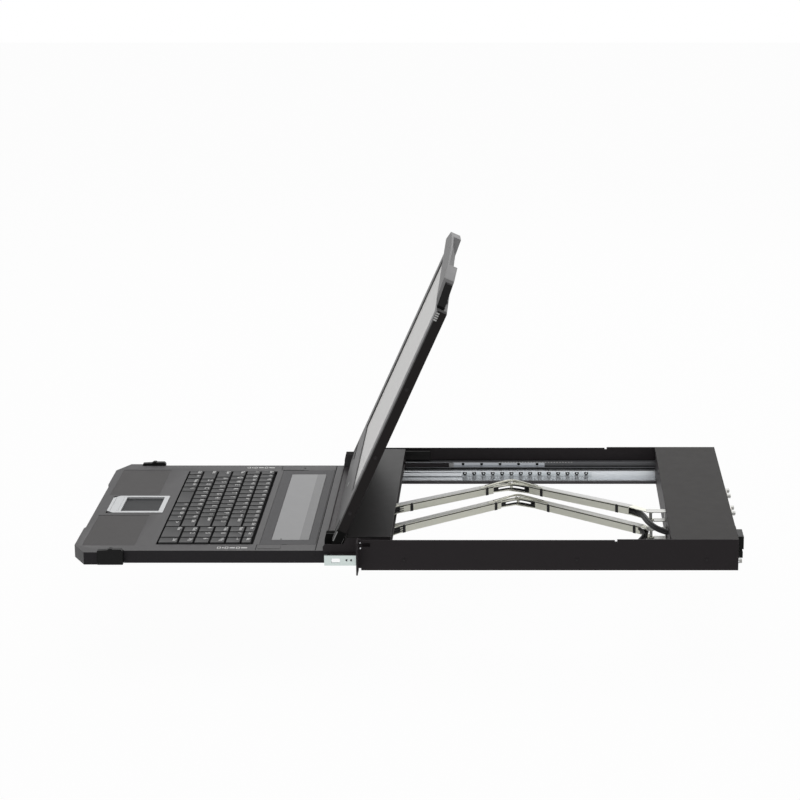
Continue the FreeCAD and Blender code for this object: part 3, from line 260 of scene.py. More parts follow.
# dark joints, and painted shade in the pockets and holes of the cages and strike plates
SHADOW = surface("dark joint and painted shade", (0.006, 0.006, 0.006), 0.7, grain=900.0, depth=0.05, shade=0.02, specular=0.05)
SCREEN = screen_surface()

BY_SLOT = {"black_steel": BLACK_COAT, "zinc_steel": ZINC, "bezel_plastic": BEZEL, "key_plastic": KEYCAP,
           "black_plastic": MOULDED_BLACK, "button_metal": SILVER, "frame_silver": SILVER, "pad_plastic": PAD,
           "strip_plastic": STRIP, "port_metal": NICKEL, "board_green": BOARD, "screen_glass": SCREEN,
           "panel_metal": PANEL, "arm_cream": CREAM, "cable_black": SHEATH}
BY_NODE = {"lid_back": LID_COAT, "lid_bezel": LID_BEZEL, "key_plate": WELL, "panel_plate": PANEL_GREY,
           "keyboard_pan": BEZEL, "hinge_pins": BLACK_COAT,
           "right_lid_latch": DEEP_BLACK, "left_lid_latch": DEEP_BLACK,
           "rear_cover": COVER_COAT, "tray_cover": TRAY_COAT, "arm_root_brackets": HARDWARE,
           "right_hinge_bracket": DEEP_BLACK, "left_hinge_bracket": DEEP_BLACK,
           "right_upper_rail": DARK_RAIL, "left_upper_rail": DARK_RAIL,
           "right_upper_cage": CAGE_STEEL, "left_upper_cage": CAGE_STEEL,
           "right_lower_cage": LOWER_CAGE, "left_lower_cage": LOWER_CAGE,
           "right_strike": STRIKE_ZINC, "left_strike": STRIKE_ZINC}
SLOT_OF = {part["node"]: part["material_slot"] for part in frame["record"]["subparts"]}
BODY_OF = {name: body for body, names in frame["record"]["behaviour"]["bodies"].items() for name in names}


def paint(thing, material):
    thing.data.materials.clear()
    thing.data.materials.append(material)


def finish_of(name):
    return BY_NODE.get(name) or BY_SLOT[SLOT_OF[name]]


def link(name, mesh, material, body):
    """Put a finished mesh in the scene and let it ride on a body."""
    thing = bpy.data.objects.new(name, mesh)
    bpy.context.collection.objects.link(thing)
    paint(thing, material)
    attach(thing, body)
    return thing


# Softened edges: each node listed below is shown by a copy of itself with its sharp edges broken

WELD = 1e-6
FLAT_WITHIN = math.radians(0.6)
SHARP_FROM = math.radians(28)
SMOOTH_UNDER = math.radians(35)
EDGE_STEPS = 2
# a keycap's dish and the rim round it, and how much fuller its top is than its solid's
CAP_DISH = 0.25
CAP_RIM = 1.7
CAP_FULL = 0.4
# a cap's top is level and lies in the highest band of its node
LEVEL = 0.99
TOP_BAND = 0.2
# the nodes whose side faces get painted light or shade: a darker painted shade on the keyboard's sides, and a
# paler painted light on the hinge brackets' inner faces. For each: the material, whether these faces look out
# or in, how far in from the node's side they lie, and how much they have to face that way
PAINTED_SIDE_LIGHT_AND_SHADE = {"keyboard_bezel": (SHADED_BEZEL_SIDE, 1, 16.0, -0.01), "keyboard_pan": (SHADED_BEZEL_SIDE, 1, 16.0, -0.01),
              "right_hinge_bracket": (BEZEL, -1, 15.0, 0.5), "left_hinge_bracket": (BEZEL, -1, 15.0, 0.5)}
SIDE_TILT = 0.3


def dish_caps(made):
    """Make each keycap a little fuller at its top than its solid, and dish it in the middle."""
    height = max(vertex.co.z for vertex in made.verts)
    tops = [face for face in made.faces
            if face.normal.z > LEVEL and face.verts[0].co.z > height - TOP_BAND * MM]
    for face in tops:
        middle = face.calc_center_median()
        for vertex in face.verts:
            vertex.co.y += math.copysign(CAP_FULL * MM, vertex.co.y - middle.y)
            vertex.co.x += math.copysign(CAP_FULL / 2 * MM, vertex.co.x - middle.x)
    bmesh.ops.inset_individual(made, faces=tops, thickness=CAP_RIM * MM, depth=-CAP_DISH * MM)


def paint_side_light_and_shade(mesh, material, facing, deep, least):
    """Paint shade on the keyboard's sides, and light on the hinge brackets' inner faces, by a material of
    their own.
    """
    mesh.materials.append(material)
    outer = max(abs(vertex.co.x) for vertex in mesh.vertices)
    for face in mesh.polygons:
        turned = math.copysign(face.normal.x, face.normal.x * face.center.x) * facing > least
        if abs(face.normal.z) < SIDE_TILT and abs(face.center.x) > outer - deep * MM and turned:
            face.material_index = 1


def break_edges(thing, width):
    """Bevel a piece's sharp edges by a width in millimetres."""
    edge = thing.modifiers.new("edges", "BEVEL")
    edge.width = width * MM
    edge.segments = EDGE_STEPS
    edge.limit_method = "ANGLE"
    edge.use_clamp_overlap = True
    return edge


def softened(name, width):
    source = frame["nodes"][name]
    made = bmesh.new()
    made.from_mesh(source.data)
    bmesh.ops.remove_doubles(made, verts=made.verts, dist=WELD)
    bmesh.ops.dissolve_limit(made, angle_limit=FLAT_WITHIN, verts=made.verts, edges=made.edges)
    if name.endswith("_keys"):
        dish_caps(made)
    mesh = bpy.data.meshes.new(name + "_shown")
    made.to_mesh(mesh)
    made.free()
    thing = link(name + "_shown", mesh, finish_of(name), BODY_OF[name])
    edge = break_edges(thing, width)
    edge.angle_limit = SHARP_FROM
    edge.harden_normals = True
    for face in mesh.polygons:
        face.use_smooth = True
    # painted shade on the keyboard's sides, painted light on the hinge brackets' inner faces
    if name in PAINTED_SIDE_LIGHT_AND_SHADE:
        paint_side_light_and_shade(mesh, *PAINTED_SIDE_LIGHT_AND_SHADE[name])
    mesh.set_sharp_from_angle(angle=SMOOTH_UNDER)
    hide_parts(name)


# the width of the broken edges, and the nodes that have it
EDGES = {0.35: ["right_side_wall", "left_side_wall", "rear_housing", "rear_cover", "tray_frame", "tray_cover",
                "keyboard_pan", "lid_back", "right_strike", "left_strike", "panel_plate"],
         0.5: ["keyboard_bezel", "lid_bezel", "right_keyboard_latch", "left_keyboard_latch",
               "right_lid_latch", "left_lid_latch", "power_inlet", "right_hinge_bracket",
               "left_hinge_bracket"],
         0.4: ["main_keys", "function_keys", "number_keys", "left_pad_button", "right_pad_button"],
         0.15: ["touchpad_frame"],
         0.2: ["arm_root_brackets", "tray_arm_bracket", "keyboard_arm_bracket", "video_ports",
               "function_strip", "upper_rear_link", "upper_front_link", "lower_rear_link",
               "lower_front_link"]}


def carried_nodes():
    for name, thing in frame["nodes"].items():
        paint(thing, finish_of(name))
    for width, names in EDGES.items():
        for name in names:
            softened(name, width)


# Small pieces that the solids leave to this script. Each is drawn in the millimetres of a local frame,
# whose matrix carries it to its place in the world.

UNDERSIDE = -21.825
STOWED_TO_WORLD = Matrix.Scale(MM, 4) @ Matrix.Translation((0, 0, UNDERSIDE))
KEYBOARD_OUT = 340.0
TRAY_OUT = 359.0
KEYBOARD = STOWED_TO_WORLD @ Matrix.Translation((0, -KEYBOARD_OUT, 0))
TRAY = STOWED_TO_WORLD @ Matrix.Translation((0, -TRAY_OUT, 0))
LID_ANGLE = math.radians(114.5)
HINGE_AT = (0, 331.0, 34.7)
# along the lid, the second number is the distance from the hinge axis, made negative
LID = TRAY @ Matrix.Translation(HINGE_AT) @ Matrix.Rotation(-LID_ANGLE, 4, "X")

ARM_LENGTH = 232.5
ARM_ROOT_Y = 384.0
# each arm's root in X, how far along Y it reaches, and the height of its channel's underside
ARMS = {"upper": (79.0, 376.0, 25.0), "lower": (95.0, 357.0, 5.0)}


def arm_bend(level):
    """How far an arm's links turn from the X axis."""
    reach = ARMS[level][1]
    return math.asin(reach / 2 / ARM_LENGTH)


def knee_at(level):
    root_x, reach, low = ARMS[level]
    return root_x - ARM_LENGTH * math.cos(arm_bend(level)), ARM_ROOT_Y - reach / 2, low


def link_frame(level, word):
    """The frame of a link: X from its first pivot to its second, Z from the underside of its channel."""
    root_x, _, low = ARMS[level]
    if word == "rear":
        start, turn = (root_x, ARM_ROOT_Y, low), math.pi + arm_bend(level)
    else:
        start, turn = knee_at(level), -arm_bend(level)
    return STOWED_TO_WORLD @ Matrix.Translation(start) @ Matrix.Rotation(turn, 4, "Z")


def on_side(side, low, high):
    """The corners of a box that is given for the right, or of its mirror image on the left."""
    near, far = sorted((side * low[0], side * high[0]))
    return (near, *low[1:]), (far, *high[1:])


class Shape:
    """Boxes, discs, balls and cones, gathered into one mesh."""

    def __init__(self, frame_matrix):
        self.frame = frame_matrix
        self.mesh = bmesh.new()

    def keep(self, made, matrix):
        bmesh.ops.transform(self.mesh, matrix=self.frame @ matrix, verts=made["verts"])

    def box(self, low, high, turn=None):
        size = [high[i] - low[i] for i in range(3)]
        middle = Matrix.Translation([(low[i] + high[i]) / 2 for i in range(3)])
        matrix = middle @ (turn or Matrix()) @ Matrix.Diagonal((*size, 1))
        self.keep(bmesh.ops.create_cube(self.mesh, size=1), matrix)

    def both_sides(self, low, high):
        for _, side in SIDES:
            self.box(*on_side(side, low, high))

    def cross(self, centre, half, turn):
        """The crossed slots of a screw head that faces sideways."""
        low = [place - reach for place, reach in zip(centre, half)]
        high = [place + reach for place, reach in zip(centre, half)]
        for angle in (turn, turn + math.pi / 2):
            self.box(low, high, Matrix.Rotation(angle, 4, "X"))

    def disc(self, centre, axis, radius, length, tip=None, sides=20):
        turn = Vector((0, 0, 1)).rotation_difference(Vector(axis)).to_matrix().to_4x4()
        made = bmesh.ops.create_cone(self.mesh, cap_ends=True, segments=sides, radius1=radius,
                                     radius2=radius if tip is None else tip, depth=length)
        self.keep(made, Matrix.Translation(centre) @ turn)

    def ball(self, centre, radius):
        made = bmesh.ops.create_uvsphere(self.mesh, u_segments=16, v_segments=10, radius=radius)
        self.keep(made, Matrix.Translation(centre))

    def piece(self, name, material, body, rounded=0.0):
        mesh = bpy.data.meshes.new(name)
        bmesh.ops.recalc_face_normals(self.mesh, faces=self.mesh.faces)
        self.mesh.to_mesh(mesh)
        self.mesh.free()
        for face in mesh.polygons:
            face.use_smooth = True
        mesh.set_sharp_from_angle(angle=SMOOTH_UNDER)
        thing = link(name, mesh, material, body)
        if rounded:
            break_edges(thing, rounded)


def tube_mesh(name, matrix, points, radius):
    """A smooth tube through a few guiding points, as a mesh."""
    curve = bpy.data.curves.new(name, "CURVE")
    curve.dimensions = "3D"
    curve.bevel_depth = radius * MM
    curve.bevel_resolution = 3
    curve.resolution_u = 10
    curve.use_fill_caps = True
    line = curve.splines.new("NURBS")
    line.points.add(len(points) - 1)
    for spot, place in zip(line.points, points):
        spot.co = (*(matrix @ Vector(place)), 1)
    line.use_endpoint_u = True
    line.order_u = 3
    shown = bpy.data.objects.new(name, curve)
    mesh = bpy.data.meshes.new_from_object(shown)
    bpy.data.objects.remove(shown)
    for face in mesh.polygons:
        face.use_smooth = True
    return mesh


def tube(name, matrix, points, radius, body):
    link(name, tube_mesh(name, matrix, points, radius), SHEATH, body)


def bent_tube(name, matrix, points, radius, first, second, start, end, material=SHEATH, slot="cable_black"):
    """A tube that crosses a joint, left fixed where it is built; its two bending points are not used."""
    thing = bpy.data.objects.new(name, tube_mesh(name, matrix, points, radius))
    bpy.context.collection.objects.link(thing)
    paint(thing, material)
    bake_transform(thing)


# Printed legends: generic letters, digits and key words

LETTER_SWELL = 0.16
LETTER_DEPTH = 0.02
LETTER_STEPS = 2


def legends(name, matrix, words, body, material):
    """Thin printed words, each given as its text, its X, Y and Z, and its letter size."""
    gathered = bmesh.new()
    for text, x, y, z, size in words:
        data = bpy.data.curves.new("word", "FONT")
        data.body = text
        data.size = size
        data.offset = LETTER_SWELL
        data.extrude = LETTER_DEPTH
        data.resolution_u = LETTER_STEPS
        shown = bpy.data.objects.new("word", data)
        mesh = bpy.data.meshes.new_from_object(shown)
        mesh.transform(matrix @ Matrix.Translation((x, y, z)))
        gathered.from_mesh(mesh)
        bpy.data.objects.remove(shown)
        bpy.data.meshes.remove(mesh)
    mesh = bpy.data.meshes.new(name)
    gathered.to_mesh(mesh)
    gathered.free()
    link(name, mesh, material, body)


# where the main keys and the number block start, and how wide one key unit is
KEY_START = -166.8
KEY_UNIT = 19.057
NUMBER_START = 100.0
NUMBER_UNIT = 23.667
# where the first row starts, the rows' pitch, the caps' top, and how far in from a cap's edge its legend lies
KEY_FRONT = 72.5
KEY_PITCH = 20.6
CAP_TOP = 21.9
LEGEND_IN = 3.0
LEGEND_LIFT = 0.04
LETTER_SIZE = 9.0
WORD_SIZE = 6.4
CAPITAL_HIGH = 0.7
# each row's key widths in units, and its legends, from the front to the back
MAIN_ROWS = [([1.08] * 5 + [2.92] + [1] * 3 + [1.34] * 2,
              ["Ctrl", "Fn", "Menu", "Alt", "\\ |", "", "/ ?", "Alt", "Ctrl", "<", ">"]),
             ([2.25] + [1] * 10 + [1.75],
              ["Shift", "Z", "X", "C", "V", "B", "N", "M", ", <", ". >", "Up", "Shift"]),
             ([1.75] + [1] * 10 + [2.25],
              ["Caps", "A", "S", "D", "F", "G", "H", "J", "K", "L", "; :", "Enter"]),
             ([1.5] + [1] * 11 + [1.5],
              ["Tab", "Q", "W", "E", "R", "T", "Y", "U", "I", "O", "P", "[ {", "] }"]),
             ([1] * 12 + [2],
              ["1 !", "2 @", "3 #", "4 $", "5 %", "6 ^", "7 &", "8 *", "9 (", "0 )", "- _", "= +", "Back"])]
FUNCTION_ROW = 6
FUNCTION_WORDS = ["Esc", "F1", "F2", "F3", "F4", "F5", "F6", "F7", "F8", "F9", "F10", "F11", "F12", "Del"]
# where each row of the number block ends, in rows
NUMBER_BACKS = [1.3, 2.3, 3.3, 4.3, 5.3, 6]
NUMBER_ROWS = [([2, 1], ["0 Ins", ". Del"]), ([1] * 3, ["1 End", "2", "3 Pg"]), ([1] * 3, ["4", "5", "6"]),
               ([1] * 3, ["7 Hm", "8", "9 Pg"]), ([1] * 3, ["Num", "/ *", "- +"]),
               ([1] * 3, ["Prt", "Scr", "Brk"])]


def row_words(start, unit, widths, words, back):
    """The legends of one row that ends at a number of rows, each in the far left corner of its cap."""
    made = []
    place = 0
    for width, text in zip(widths, words):
        size = LETTER_SIZE if len(text) == 1 else WORD_SIZE
        if text:
            y = KEY_FRONT + back * KEY_PITCH - LEGEND_IN - size * CAPITAL_HIGH
            made.append((text, start + place * unit + LEGEND_IN, y, CAP_TOP - CAP_DISH + LEGEND_LIFT, size))
        place += width
    return made


def key_legends():
    main = []
    for i, (widths, words) in enumerate(MAIN_ROWS):
        main += row_words(KEY_START, KEY_UNIT, widths, words, i + 1)
    legends("main_key_legends", KEYBOARD, main, "main_key_set", MARKING)
    functions = row_words(KEY_START, KEY_UNIT, [1] * len(FUNCTION_WORDS), FUNCTION_WORDS, FUNCTION_ROW)
    legends("function_key_legends", KEYBOARD, functions, "function_key_set", MARKING)
    numbers = []
    for back, (widths, words) in zip(NUMBER_BACKS, NUMBER_ROWS):
        numbers += row_words(NUMBER_START, NUMBER_UNIT, widths, words, back)
    legends("number_key_legends", KEYBOARD, numbers, "number_key_set", MARKING)


# The drawer's deck. Corners are in X and Y, on the right side where the left side mirrors them.

DECK = 20.0
# the printed signs of each side border: how far out their middle lies, half the width of a bar and of an
# open frame, the frame's inner edge and line, and where each sign starts and how long it is
SIGN_MIDDLE = 187.0
SIGN_BAR = 1.9
SIGN_FRAME = 4.6
SIGN_INNER = 3.0
SIGN_LINE = 1.3
SIGN_SUNK = 0.05
SIGNS = ((153, 5), (159.5, 2.4), (163, 5), (169.5, 7), (178, 5), (184.5, 8))
# the raised plate on each border, and how far it reaches below and above the deck
PLATE = ((174.5, 206), (191.5, 236))
PLATE_SUNK = 0.3
PLATE_PROUD = 0.4
# the palm rests lie in their hollows, between two depths below the deck
PALMS = (((43.4, -24.6), (176.6, 44.1)), ((-175.6, -24.6), (-51.4, 44.1)))
PALM_BASE = 0.8
PALM_FACE = 0.42
# the joints between panels: two on each side, and one across the back
JOINTS = (((174.0, 203.4), (196.5, 204.3)), ((173.3, 204.3), (174.2, 243)))
BACK_JOINT = ((-196.5, 281.8), (196.5, 282.8))
JOINT_SUNK = 0.2
JOINT_PROUD = 0.06
# small round windows in the deck: place, radius and thickness
WINDOW_LIFT = 0.05
WINDOWS = (((-184, 236.5), 1.6, 0.3), ((150, 233.3), 1.3, 0.2))
BAND = ((-152.9, 257.7), (152.9, 269.9))
BAND_PROUD = 0.05


def on_deck(corners, low, high):
    """The two corners of a box on the deck, from its outline and its heights over the deck."""
    (left, front), (right, back) = corners
    return (left, front, DECK + low), (right, back, DECK + high)


def deck_signs():
    """Printed signs on the side borders: open frames and bars in turn, as lock and slide signs are."""
    signs = Shape(KEYBOARD)
    for middle in (SIGN_MIDDLE, -SIGN_MIDDLE):
        for i, (start, length) in enumerate(SIGNS):
            end = start + length
            if i % 2:
                outlines = [((-SIGN_BAR, start), (SIGN_BAR, end))]
            else:
                outlines = [((-SIGN_FRAME, start), (-SIGN_INNER, end)),
                            ((SIGN_INNER, start), (SIGN_FRAME, end)),
                            ((-SIGN_FRAME, start), (SIGN_FRAME, start + SIGN_LINE)),
                            ((-SIGN_FRAME, end - SIGN_LINE), (SIGN_FRAME, end))]
            for (left, front), (right, back) in outlines:
                outline = ((middle + left, front), (middle + right, back))
                signs.box(*on_deck(outline, -SIGN_SUNK, LEGEND_LIFT))
    signs.piece("deck_signs", MARKING, "keyboard_drawer")


def deck_marks():
    """The raised plates, the palm rests, the dark deck joints and windows, and the band along the strip."""
    plates = Shape(KEYBOARD)
    plates.both_sides(*on_deck(PLATE, -PLATE_SUNK, PLATE_PROUD))
    plates.piece("deck_plates", BEZEL, "keyboard_drawer", rounded=0.3)
    palms = Shape(KEYBOARD)
    for outline in PALMS:
        palms.box(*on_deck(outline, -PALM_BASE, -PALM_FACE))
    palms.piece("palm_rests", PALM, "keyboard_drawer")
    dark = Shape(KEYBOARD)
    for (x, y), radius, thick in WINDOWS:
        dark.disc((x, y, DECK + WINDOW_LIFT), UPWARD, radius, thick)
    for outline in JOINTS:
        dark.both_sides(*on_deck(outline, -JOINT_SUNK, JOINT_PROUD))
    dark.box(*on_deck(BACK_JOINT, -JOINT_SUNK, JOINT_PROUD))
    dark.piece("deck_joints", SHADOW, "keyboard_drawer")
    strip = Shape(KEYBOARD)
    strip.box(*on_deck(BAND, -JOINT_SUNK, BAND_PROUD))
    strip.piece("strip_band", STRIP_DARK, "keyboard_drawer")


# Slides

# the balls of a lower cage: their number, the first one's place on the right, their pitch and radius
BALLS = 17
FIRST_BALL = (205.4, 304.0, 6.3)
BALL_PITCH = 13.6
BALL_RADIUS = 1.6
# the dark pockets round them, and the notches between them, both painted shade, from a height above the
# balls' middle
LOWER_FACE = 206.35
POCKET_RADIUS = 3.0
POCKET_THICK = 0.5
NOTCH_LOW = 1.6
NOTCH_SIZE = (0.4, 1.8, 1.4)
# the open holes of an upper cage, dark discs of painted shade
HOLES = 7
FIRST_HOLE = (216.4, 232.5, 17.2)
HOLE_PITCH = 27.0
HOLE_RADIUS = 2.0
# the end piece of the upper runner, and the moulded guide above it with the two ribs on its face
RUNNER_END = ((209.8, 463.1, 14.2), (214.6, 469.6, 20.2))
GUIDE = (((211.0, 37, 25), (218.5, 77, 37.5)), ((210.6, 43, 31.6), (211.4, 67, 33.4)),
         ((210.6, 38, 26), (211.4, 50, 28.4)))


def slide_details():
    """Steel balls in the lower cages, painted shade in all cages' pockets and notches, runner ends and
    guides.
    """
    for word, side in SIDES:
        pockets = Shape(STOWED_TO_WORLD)
        balls = Shape(STOWED_TO_WORLD)
        ball_x, first, z = FIRST_BALL
        wide, long, tall = NOTCH_SIZE
        for i in range(BALLS):
            y = first - BALL_PITCH * i
            pockets.disc((side * LOWER_FACE, y, z), SIDEWAYS, POCKET_RADIUS, POCKET_THICK)
            balls.ball((side * ball_x, y, z), BALL_RADIUS)
            if i:
                x, middle, low = side * LOWER_FACE, y + BALL_PITCH / 2, z + NOTCH_LOW
                pockets.box((x - wide / 2, middle - long / 2, low),
                            (x + wide / 2, middle + long / 2, low + tall))
        pockets.piece(word + "_lower_pockets", SHADOW, "lower_cages")
        balls.piece(word + "_lower_balls", BALL_STEEL, "lower_cages")
        holes = Shape(STOWED_TO_WORLD)
        hole_x, first, z = FIRST_HOLE
        for i in range(HOLES):
            holes.disc((side * hole_x, first - HOLE_PITCH * i, z), SIDEWAYS, HOLE_RADIUS, POCKET_THICK)
        holes.piece(word + "_upper_pockets", SHADOW, "upper_cages")
        end = Shape(TRAY)
        end.box(*on_side(side, *RUNNER_END))
        end.piece(word + "_runner_end", PALE_PIECE_AND_HIGHLIGHT, "display_tray", rounded=0.3)
        guide = Shape(STOWED_TO_WORLD)
        for low, high in GUIDE:
            guide.box(*on_side(side, low, high))
        guide.piece(word + "_guide", MOULDED_BLACK, "chassis", rounded=0.4)


# Folding arms: clips, joints, straps and cables

# a channel's inner and outer face, and its height
CHANNEL_IN = -0.6
CHANNEL_OUT = -11.6
CHANNEL_HIGH = 11.0
# the clips round a channel: sheet, half length, top, and the bosses on their inner face
CLIP = 0.35
CLIP_HALF = 2.2
CLIP_TOP = CHANNEL_HIGH - 0.8
BOSS_HEIGHTS = (2.2, 5.5, 8.8)
BOSS_RADIUS = 2.5
BOSS_TIP = 1.6
BOSS_LENGTH = 1.0
# the distance of each clip from the link's first pivot
CLIPS = {("upper", "rear"): (55.6, ARM_LENGTH - 51), ("upper", "front"): (41, ARM_LENGTH - 66),
         ("lower", "rear"): (28.8, ARM_LENGTH - 53.7), ("lower", "front"): (39.5, ARM_LENGTH - 33)}
# where each channel starts and ends
RUNS = {("upper", "rear"): (36, ARM_LENGTH - 30), ("upper", "front"): (30, ARM_LENGTH - 47),
        ("lower", "rear"): (19, ARM_LENGTH - 30), ("lower", "front"): (30, ARM_LENGTH - 26.5)}
# the dark seam along a channel's inner face, from its ends inward and between two heights
SEAM_END = 0.5
SEAM_SUNK = 0.1
SEAM_PROUD = 0.08
SEAM_LOW = CHANNEL_HIGH - 2.1
SEAM_TOP = CHANNEL_HIGH - 0.9
# the bright lip over its top
LIP_END = 0.2
LIP_OVER = 0.12
LIP_SUNK = 0.02
LIP_PROUD = 0.14
PIN_HEAD_RADIUS = 3.1
PIN_HEAD_TIP = 2.4
PIN_HEAD_HIGH = 0.9
PIN_HEAD_LIFT = 0.35


def arm_channels():
    """The clips of each link, the seam and the lip of its channel, and the heads of its pins."""
    for (level, word), places in CLIPS.items():
        name = "%s_%s" % (level, word)
        body = name + "_arm"
        matrix = link_frame(level, word)
        clips = Shape(matrix)
        for place in places:
            low, high = place - CLIP_HALF, place + CLIP_HALF
            clips.box((low, CHANNEL_IN, -CLIP), (high, CHANNEL_IN + CLIP, CLIP_TOP))
            clips.box((low, CHANNEL_OUT - CLIP, -CLIP), (high, CHANNEL_IN, 0))
            clips.box((low, CHANNEL_OUT - CLIP, 0), (high, CHANNEL_OUT, CLIP_TOP))
            for z in BOSS_HEIGHTS:
                clips.disc((place, CHANNEL_IN + CLIP, z), BACKWARD, BOSS_RADIUS, BOSS_LENGTH, tip=BOSS_TIP,
                           sides=12)
        clips.piece(name + "_clips", SHEATH, body)
        start, end = RUNS[(level, word)]
        seam = Shape(matrix)
        seam.box((start + SEAM_END, CHANNEL_IN - SEAM_SUNK, SEAM_LOW),
                 (end - SEAM_END, CHANNEL_IN + SEAM_PROUD, SEAM_TOP))
        seam.piece(name + "_seam", SHADOW, body)
        lip = Shape(matrix)
        lip.box((start + LIP_END, CHANNEL_OUT + LIP_END, CHANNEL_HIGH - LIP_SUNK),
                (end - LIP_END, CHANNEL_IN + LIP_OVER, CHANNEL_HIGH + LIP_PROUD))
        lip.piece(name + "_lip", LIP, body)
        heads = Shape(matrix)
        for place in (0.0, ARM_LENGTH) if word == "rear" else (ARM_LENGTH,):
            heads.disc((place, 0, CHANNEL_HIGH + PIN_HEAD_LIFT), UPWARD, PIN_HEAD_RADIUS, PIN_HEAD_HIGH,
                       tip=PIN_HEAD_TIP)
        heads.piece(name + "_pin_heads", NICKEL, body)


# What crosses a knee is drawn where the two links meet. A guiding point is a share of the reach along a link
# in X and a step added to it, the same in Y, and a height. Half of each route is given, and the other half
# mirrors it.
KNEE_REACH = 34.0
KNEE_BEND = 14.0
STRAP_RADIUS = 1.3
STRAP_ROUTE = ((1.5, -2, 1.5, 2, 11.0), (1.1, -3, 1.1, 1.5, 12.2), (0.5, -4, 0.5, 0, 13.6))
STRAP_MIDDLE = (-3.5, 0, 14.2)
# the cables inside the knee and outside it: height, how far they stray, and radius
INNER_CABLES = ((8.2, 6.0, 1.6), (2.6, 7.0, 1.4))
OUTER_CABLES = ((12.0, 7.5, 1.2), (5.0, 9.5, 1.1))


def inner_route(z, aside):
    """The cables that leave one channel, pass the knee on its inside, and enter the other."""
    half = ((1.25, -2, 1.25, 4, z), (1, -2, 1, 4.5, z), (0.45, -aside * 0.5, 0.45, 0, z))
    return half, (-aside * 0.1, 0, z)


def outer_route(z, bulge):
    """The cables that bow out round the knee's outer side."""
    half = ((1.2, -5, 1.2, 3, z), (0.9, -7, 0.9, 2, z), (0.4, -bulge, 0.55, 0, z))
    return half, (-bulge, 0, z)


def over_knee(level, name, half, middle, radius, **look):
    """A tube over an arm's knee."""
    bend = arm_bend(level)
    out = KNEE_REACH * math.cos(bend)
    along = KNEE_REACH * math.sin(bend)
    front = [(out * far + x, -along * wide - y, z) for far, x, wide, y, z in half]
    back = [(x, -y, z) for x, y, z in reversed(front)]
    knee = STOWED_TO_WORLD @ Matrix.Translation(knee_at(level))
    bent_tube("%s_%s" % (level, name), knee, front + [middle] + back, radius, level + "_front_arm",
              level + "_rear_arm", (0, -KNEE_BEND, 0), (0, KNEE_BEND, 0), **look)


def knee_cables():
    for level in ARMS:
        for i, (z, aside, radius) in enumerate(INNER_CABLES):
            over_knee(level, "knee_cable_%d" % (i + 1), *inner_route(z, aside), radius)
        for i, (z, bulge, radius) in enumerate(OUTER_CABLES):
            over_knee(level, "outer_cable_%d" % (i + 1), *outer_route(z, bulge), radius)
        over_knee(level, "knee_strap", STRAP_ROUTE, STRAP_MIDDLE, STRAP_RADIUS, material=CREAM,
                  slot="arm_cream")


# The cables at each arm's root: their route, how a step aside is shared between X and Y, each cable's step
# aside, lift and radius, and two points on the route
ROOT_CABLES = {
    "upper": (((48, 355, 30), (60, 363, 30), (76, 372, 30), (98, 376, 30), (120, 381, 30), (140, 390, 29),
               (150, 403, 28)), (0.4, 0.7), ((0, 0, 2.7), (5.2, 0.2, 2.7), (2.6, 3.0, 2.2)),
              (60, 363, 30), (122, 382, 30)),
    "lower": (((74, 367, 12), (88, 373, 12), (104, 375, 11), (124, 366, 9), (146, 362, 8), (162, 380, 9),
               (165, 403, 10)), (0.3, 0.7), ((0, 0, 2.4), (3.2, -3.0, 2.4)),
              (76, 368, 12), (126, 366, 10))}
# the loose leads at the front arm's end: where each lies in the channel, and their common route from its end
LEAD_RADIUS = 1.1
LEADS = ((-0.9, 8.6), (-0.9, 5.6), (-0.9, 2.6), (-4.4, 9.4), (-8.0, 9.4))
LEAD_ROUTE = ((-6, -0.6, 0), (2, 0, 0), (8, 0.4, 0.6), (15, -0.6, 0), (21, -2.0, -0.6))


def arm_end_cables():
    """The cables that leave each arm at the electronics box, and the loose leads at its other end."""
    for level, (route, (in_x, in_y), cables, first, last) in ROOT_CABLES.items():
        for i, (aside, lift, radius) in enumerate(cables):
            points = [(x + aside * in_x, y + aside * in_y, z + lift) for x, y, z in route]
            bent_tube("%s_root_cable_%d" % (level, i + 1), STOWED_TO_WORLD, points, radius,
                      level + "_rear_arm", "chassis", first, last)
    for level in ARMS:
        end = RUNS[(level, "front")][1]
        matrix = link_frame(level, "front")
        for i, (aside, height) in enumerate(LEADS):
            points = [(end + x, aside + y, height + z) for x, y, z in LEAD_ROUTE]
            tube("%s_lead_%d" % (level, i + 1), matrix, points, LEAD_RADIUS, level + "_front_arm")


# Lid details. Y is the distance from the hinge axis, made negative, and the screen faces down in Z.

LID_HALF = 207.6
# the ribs on the lid's sides: number, the first one's distance, pitch and length, and between which heights
RIBS = 4
RIB_FIRST = 320.5
RIB_PITCH = 3.1
RIB_LONG = 1.9
RIB_SUNK = 0.2
RIB_PROUD = 0.25
RIB_HEIGHTS = (-7.0, -2.6)
LAMP = ((14, -23, -7.65), (20, -17, -7.4))
# the buttons under the screen: number, the first one's place, pitch and half width, and their other corners
BUTTONS = 5
BUTTON_FIRST = -120
BUTTON_PITCH = 14
BUTTON_HALF = 5
BUTTON_LOW = (-22, -8.1)
BUTTON_HIGH = (-17, -7.4)
# the dark line round the screen, where the glass meets the moulding
RIM_HALF = 170.0
RIM_NEAR = 54.0
RIM_FAR = 324.0
RIM_LINE = 1.4
RIM_HEIGHTS = (-6.3, -5.9)
# the dark caps at the hinge, and the pale bar along each, a painted highlight
HINGE_CAP = ((LID_HALF - 0.1, -15, -6.6), (LID_HALF + 0.2, 5, 5.4))
HINGE_HIGHLIGHT = ((LID_HALF + 0.15, -13, -6.4), (LID_HALF + 0.3, 1, -4.9))
# the crossed slots of the side screws
LID_SCREWS = (42, 124, 223)
LID_SCREW_HEIGHT = -0.5
LID_SCREW_FACE = LID_HALF + 0.5
LID_SLOT_HALF = (0.12, 1.6, 0.35)
LID_SLOT_TURN = 0.6


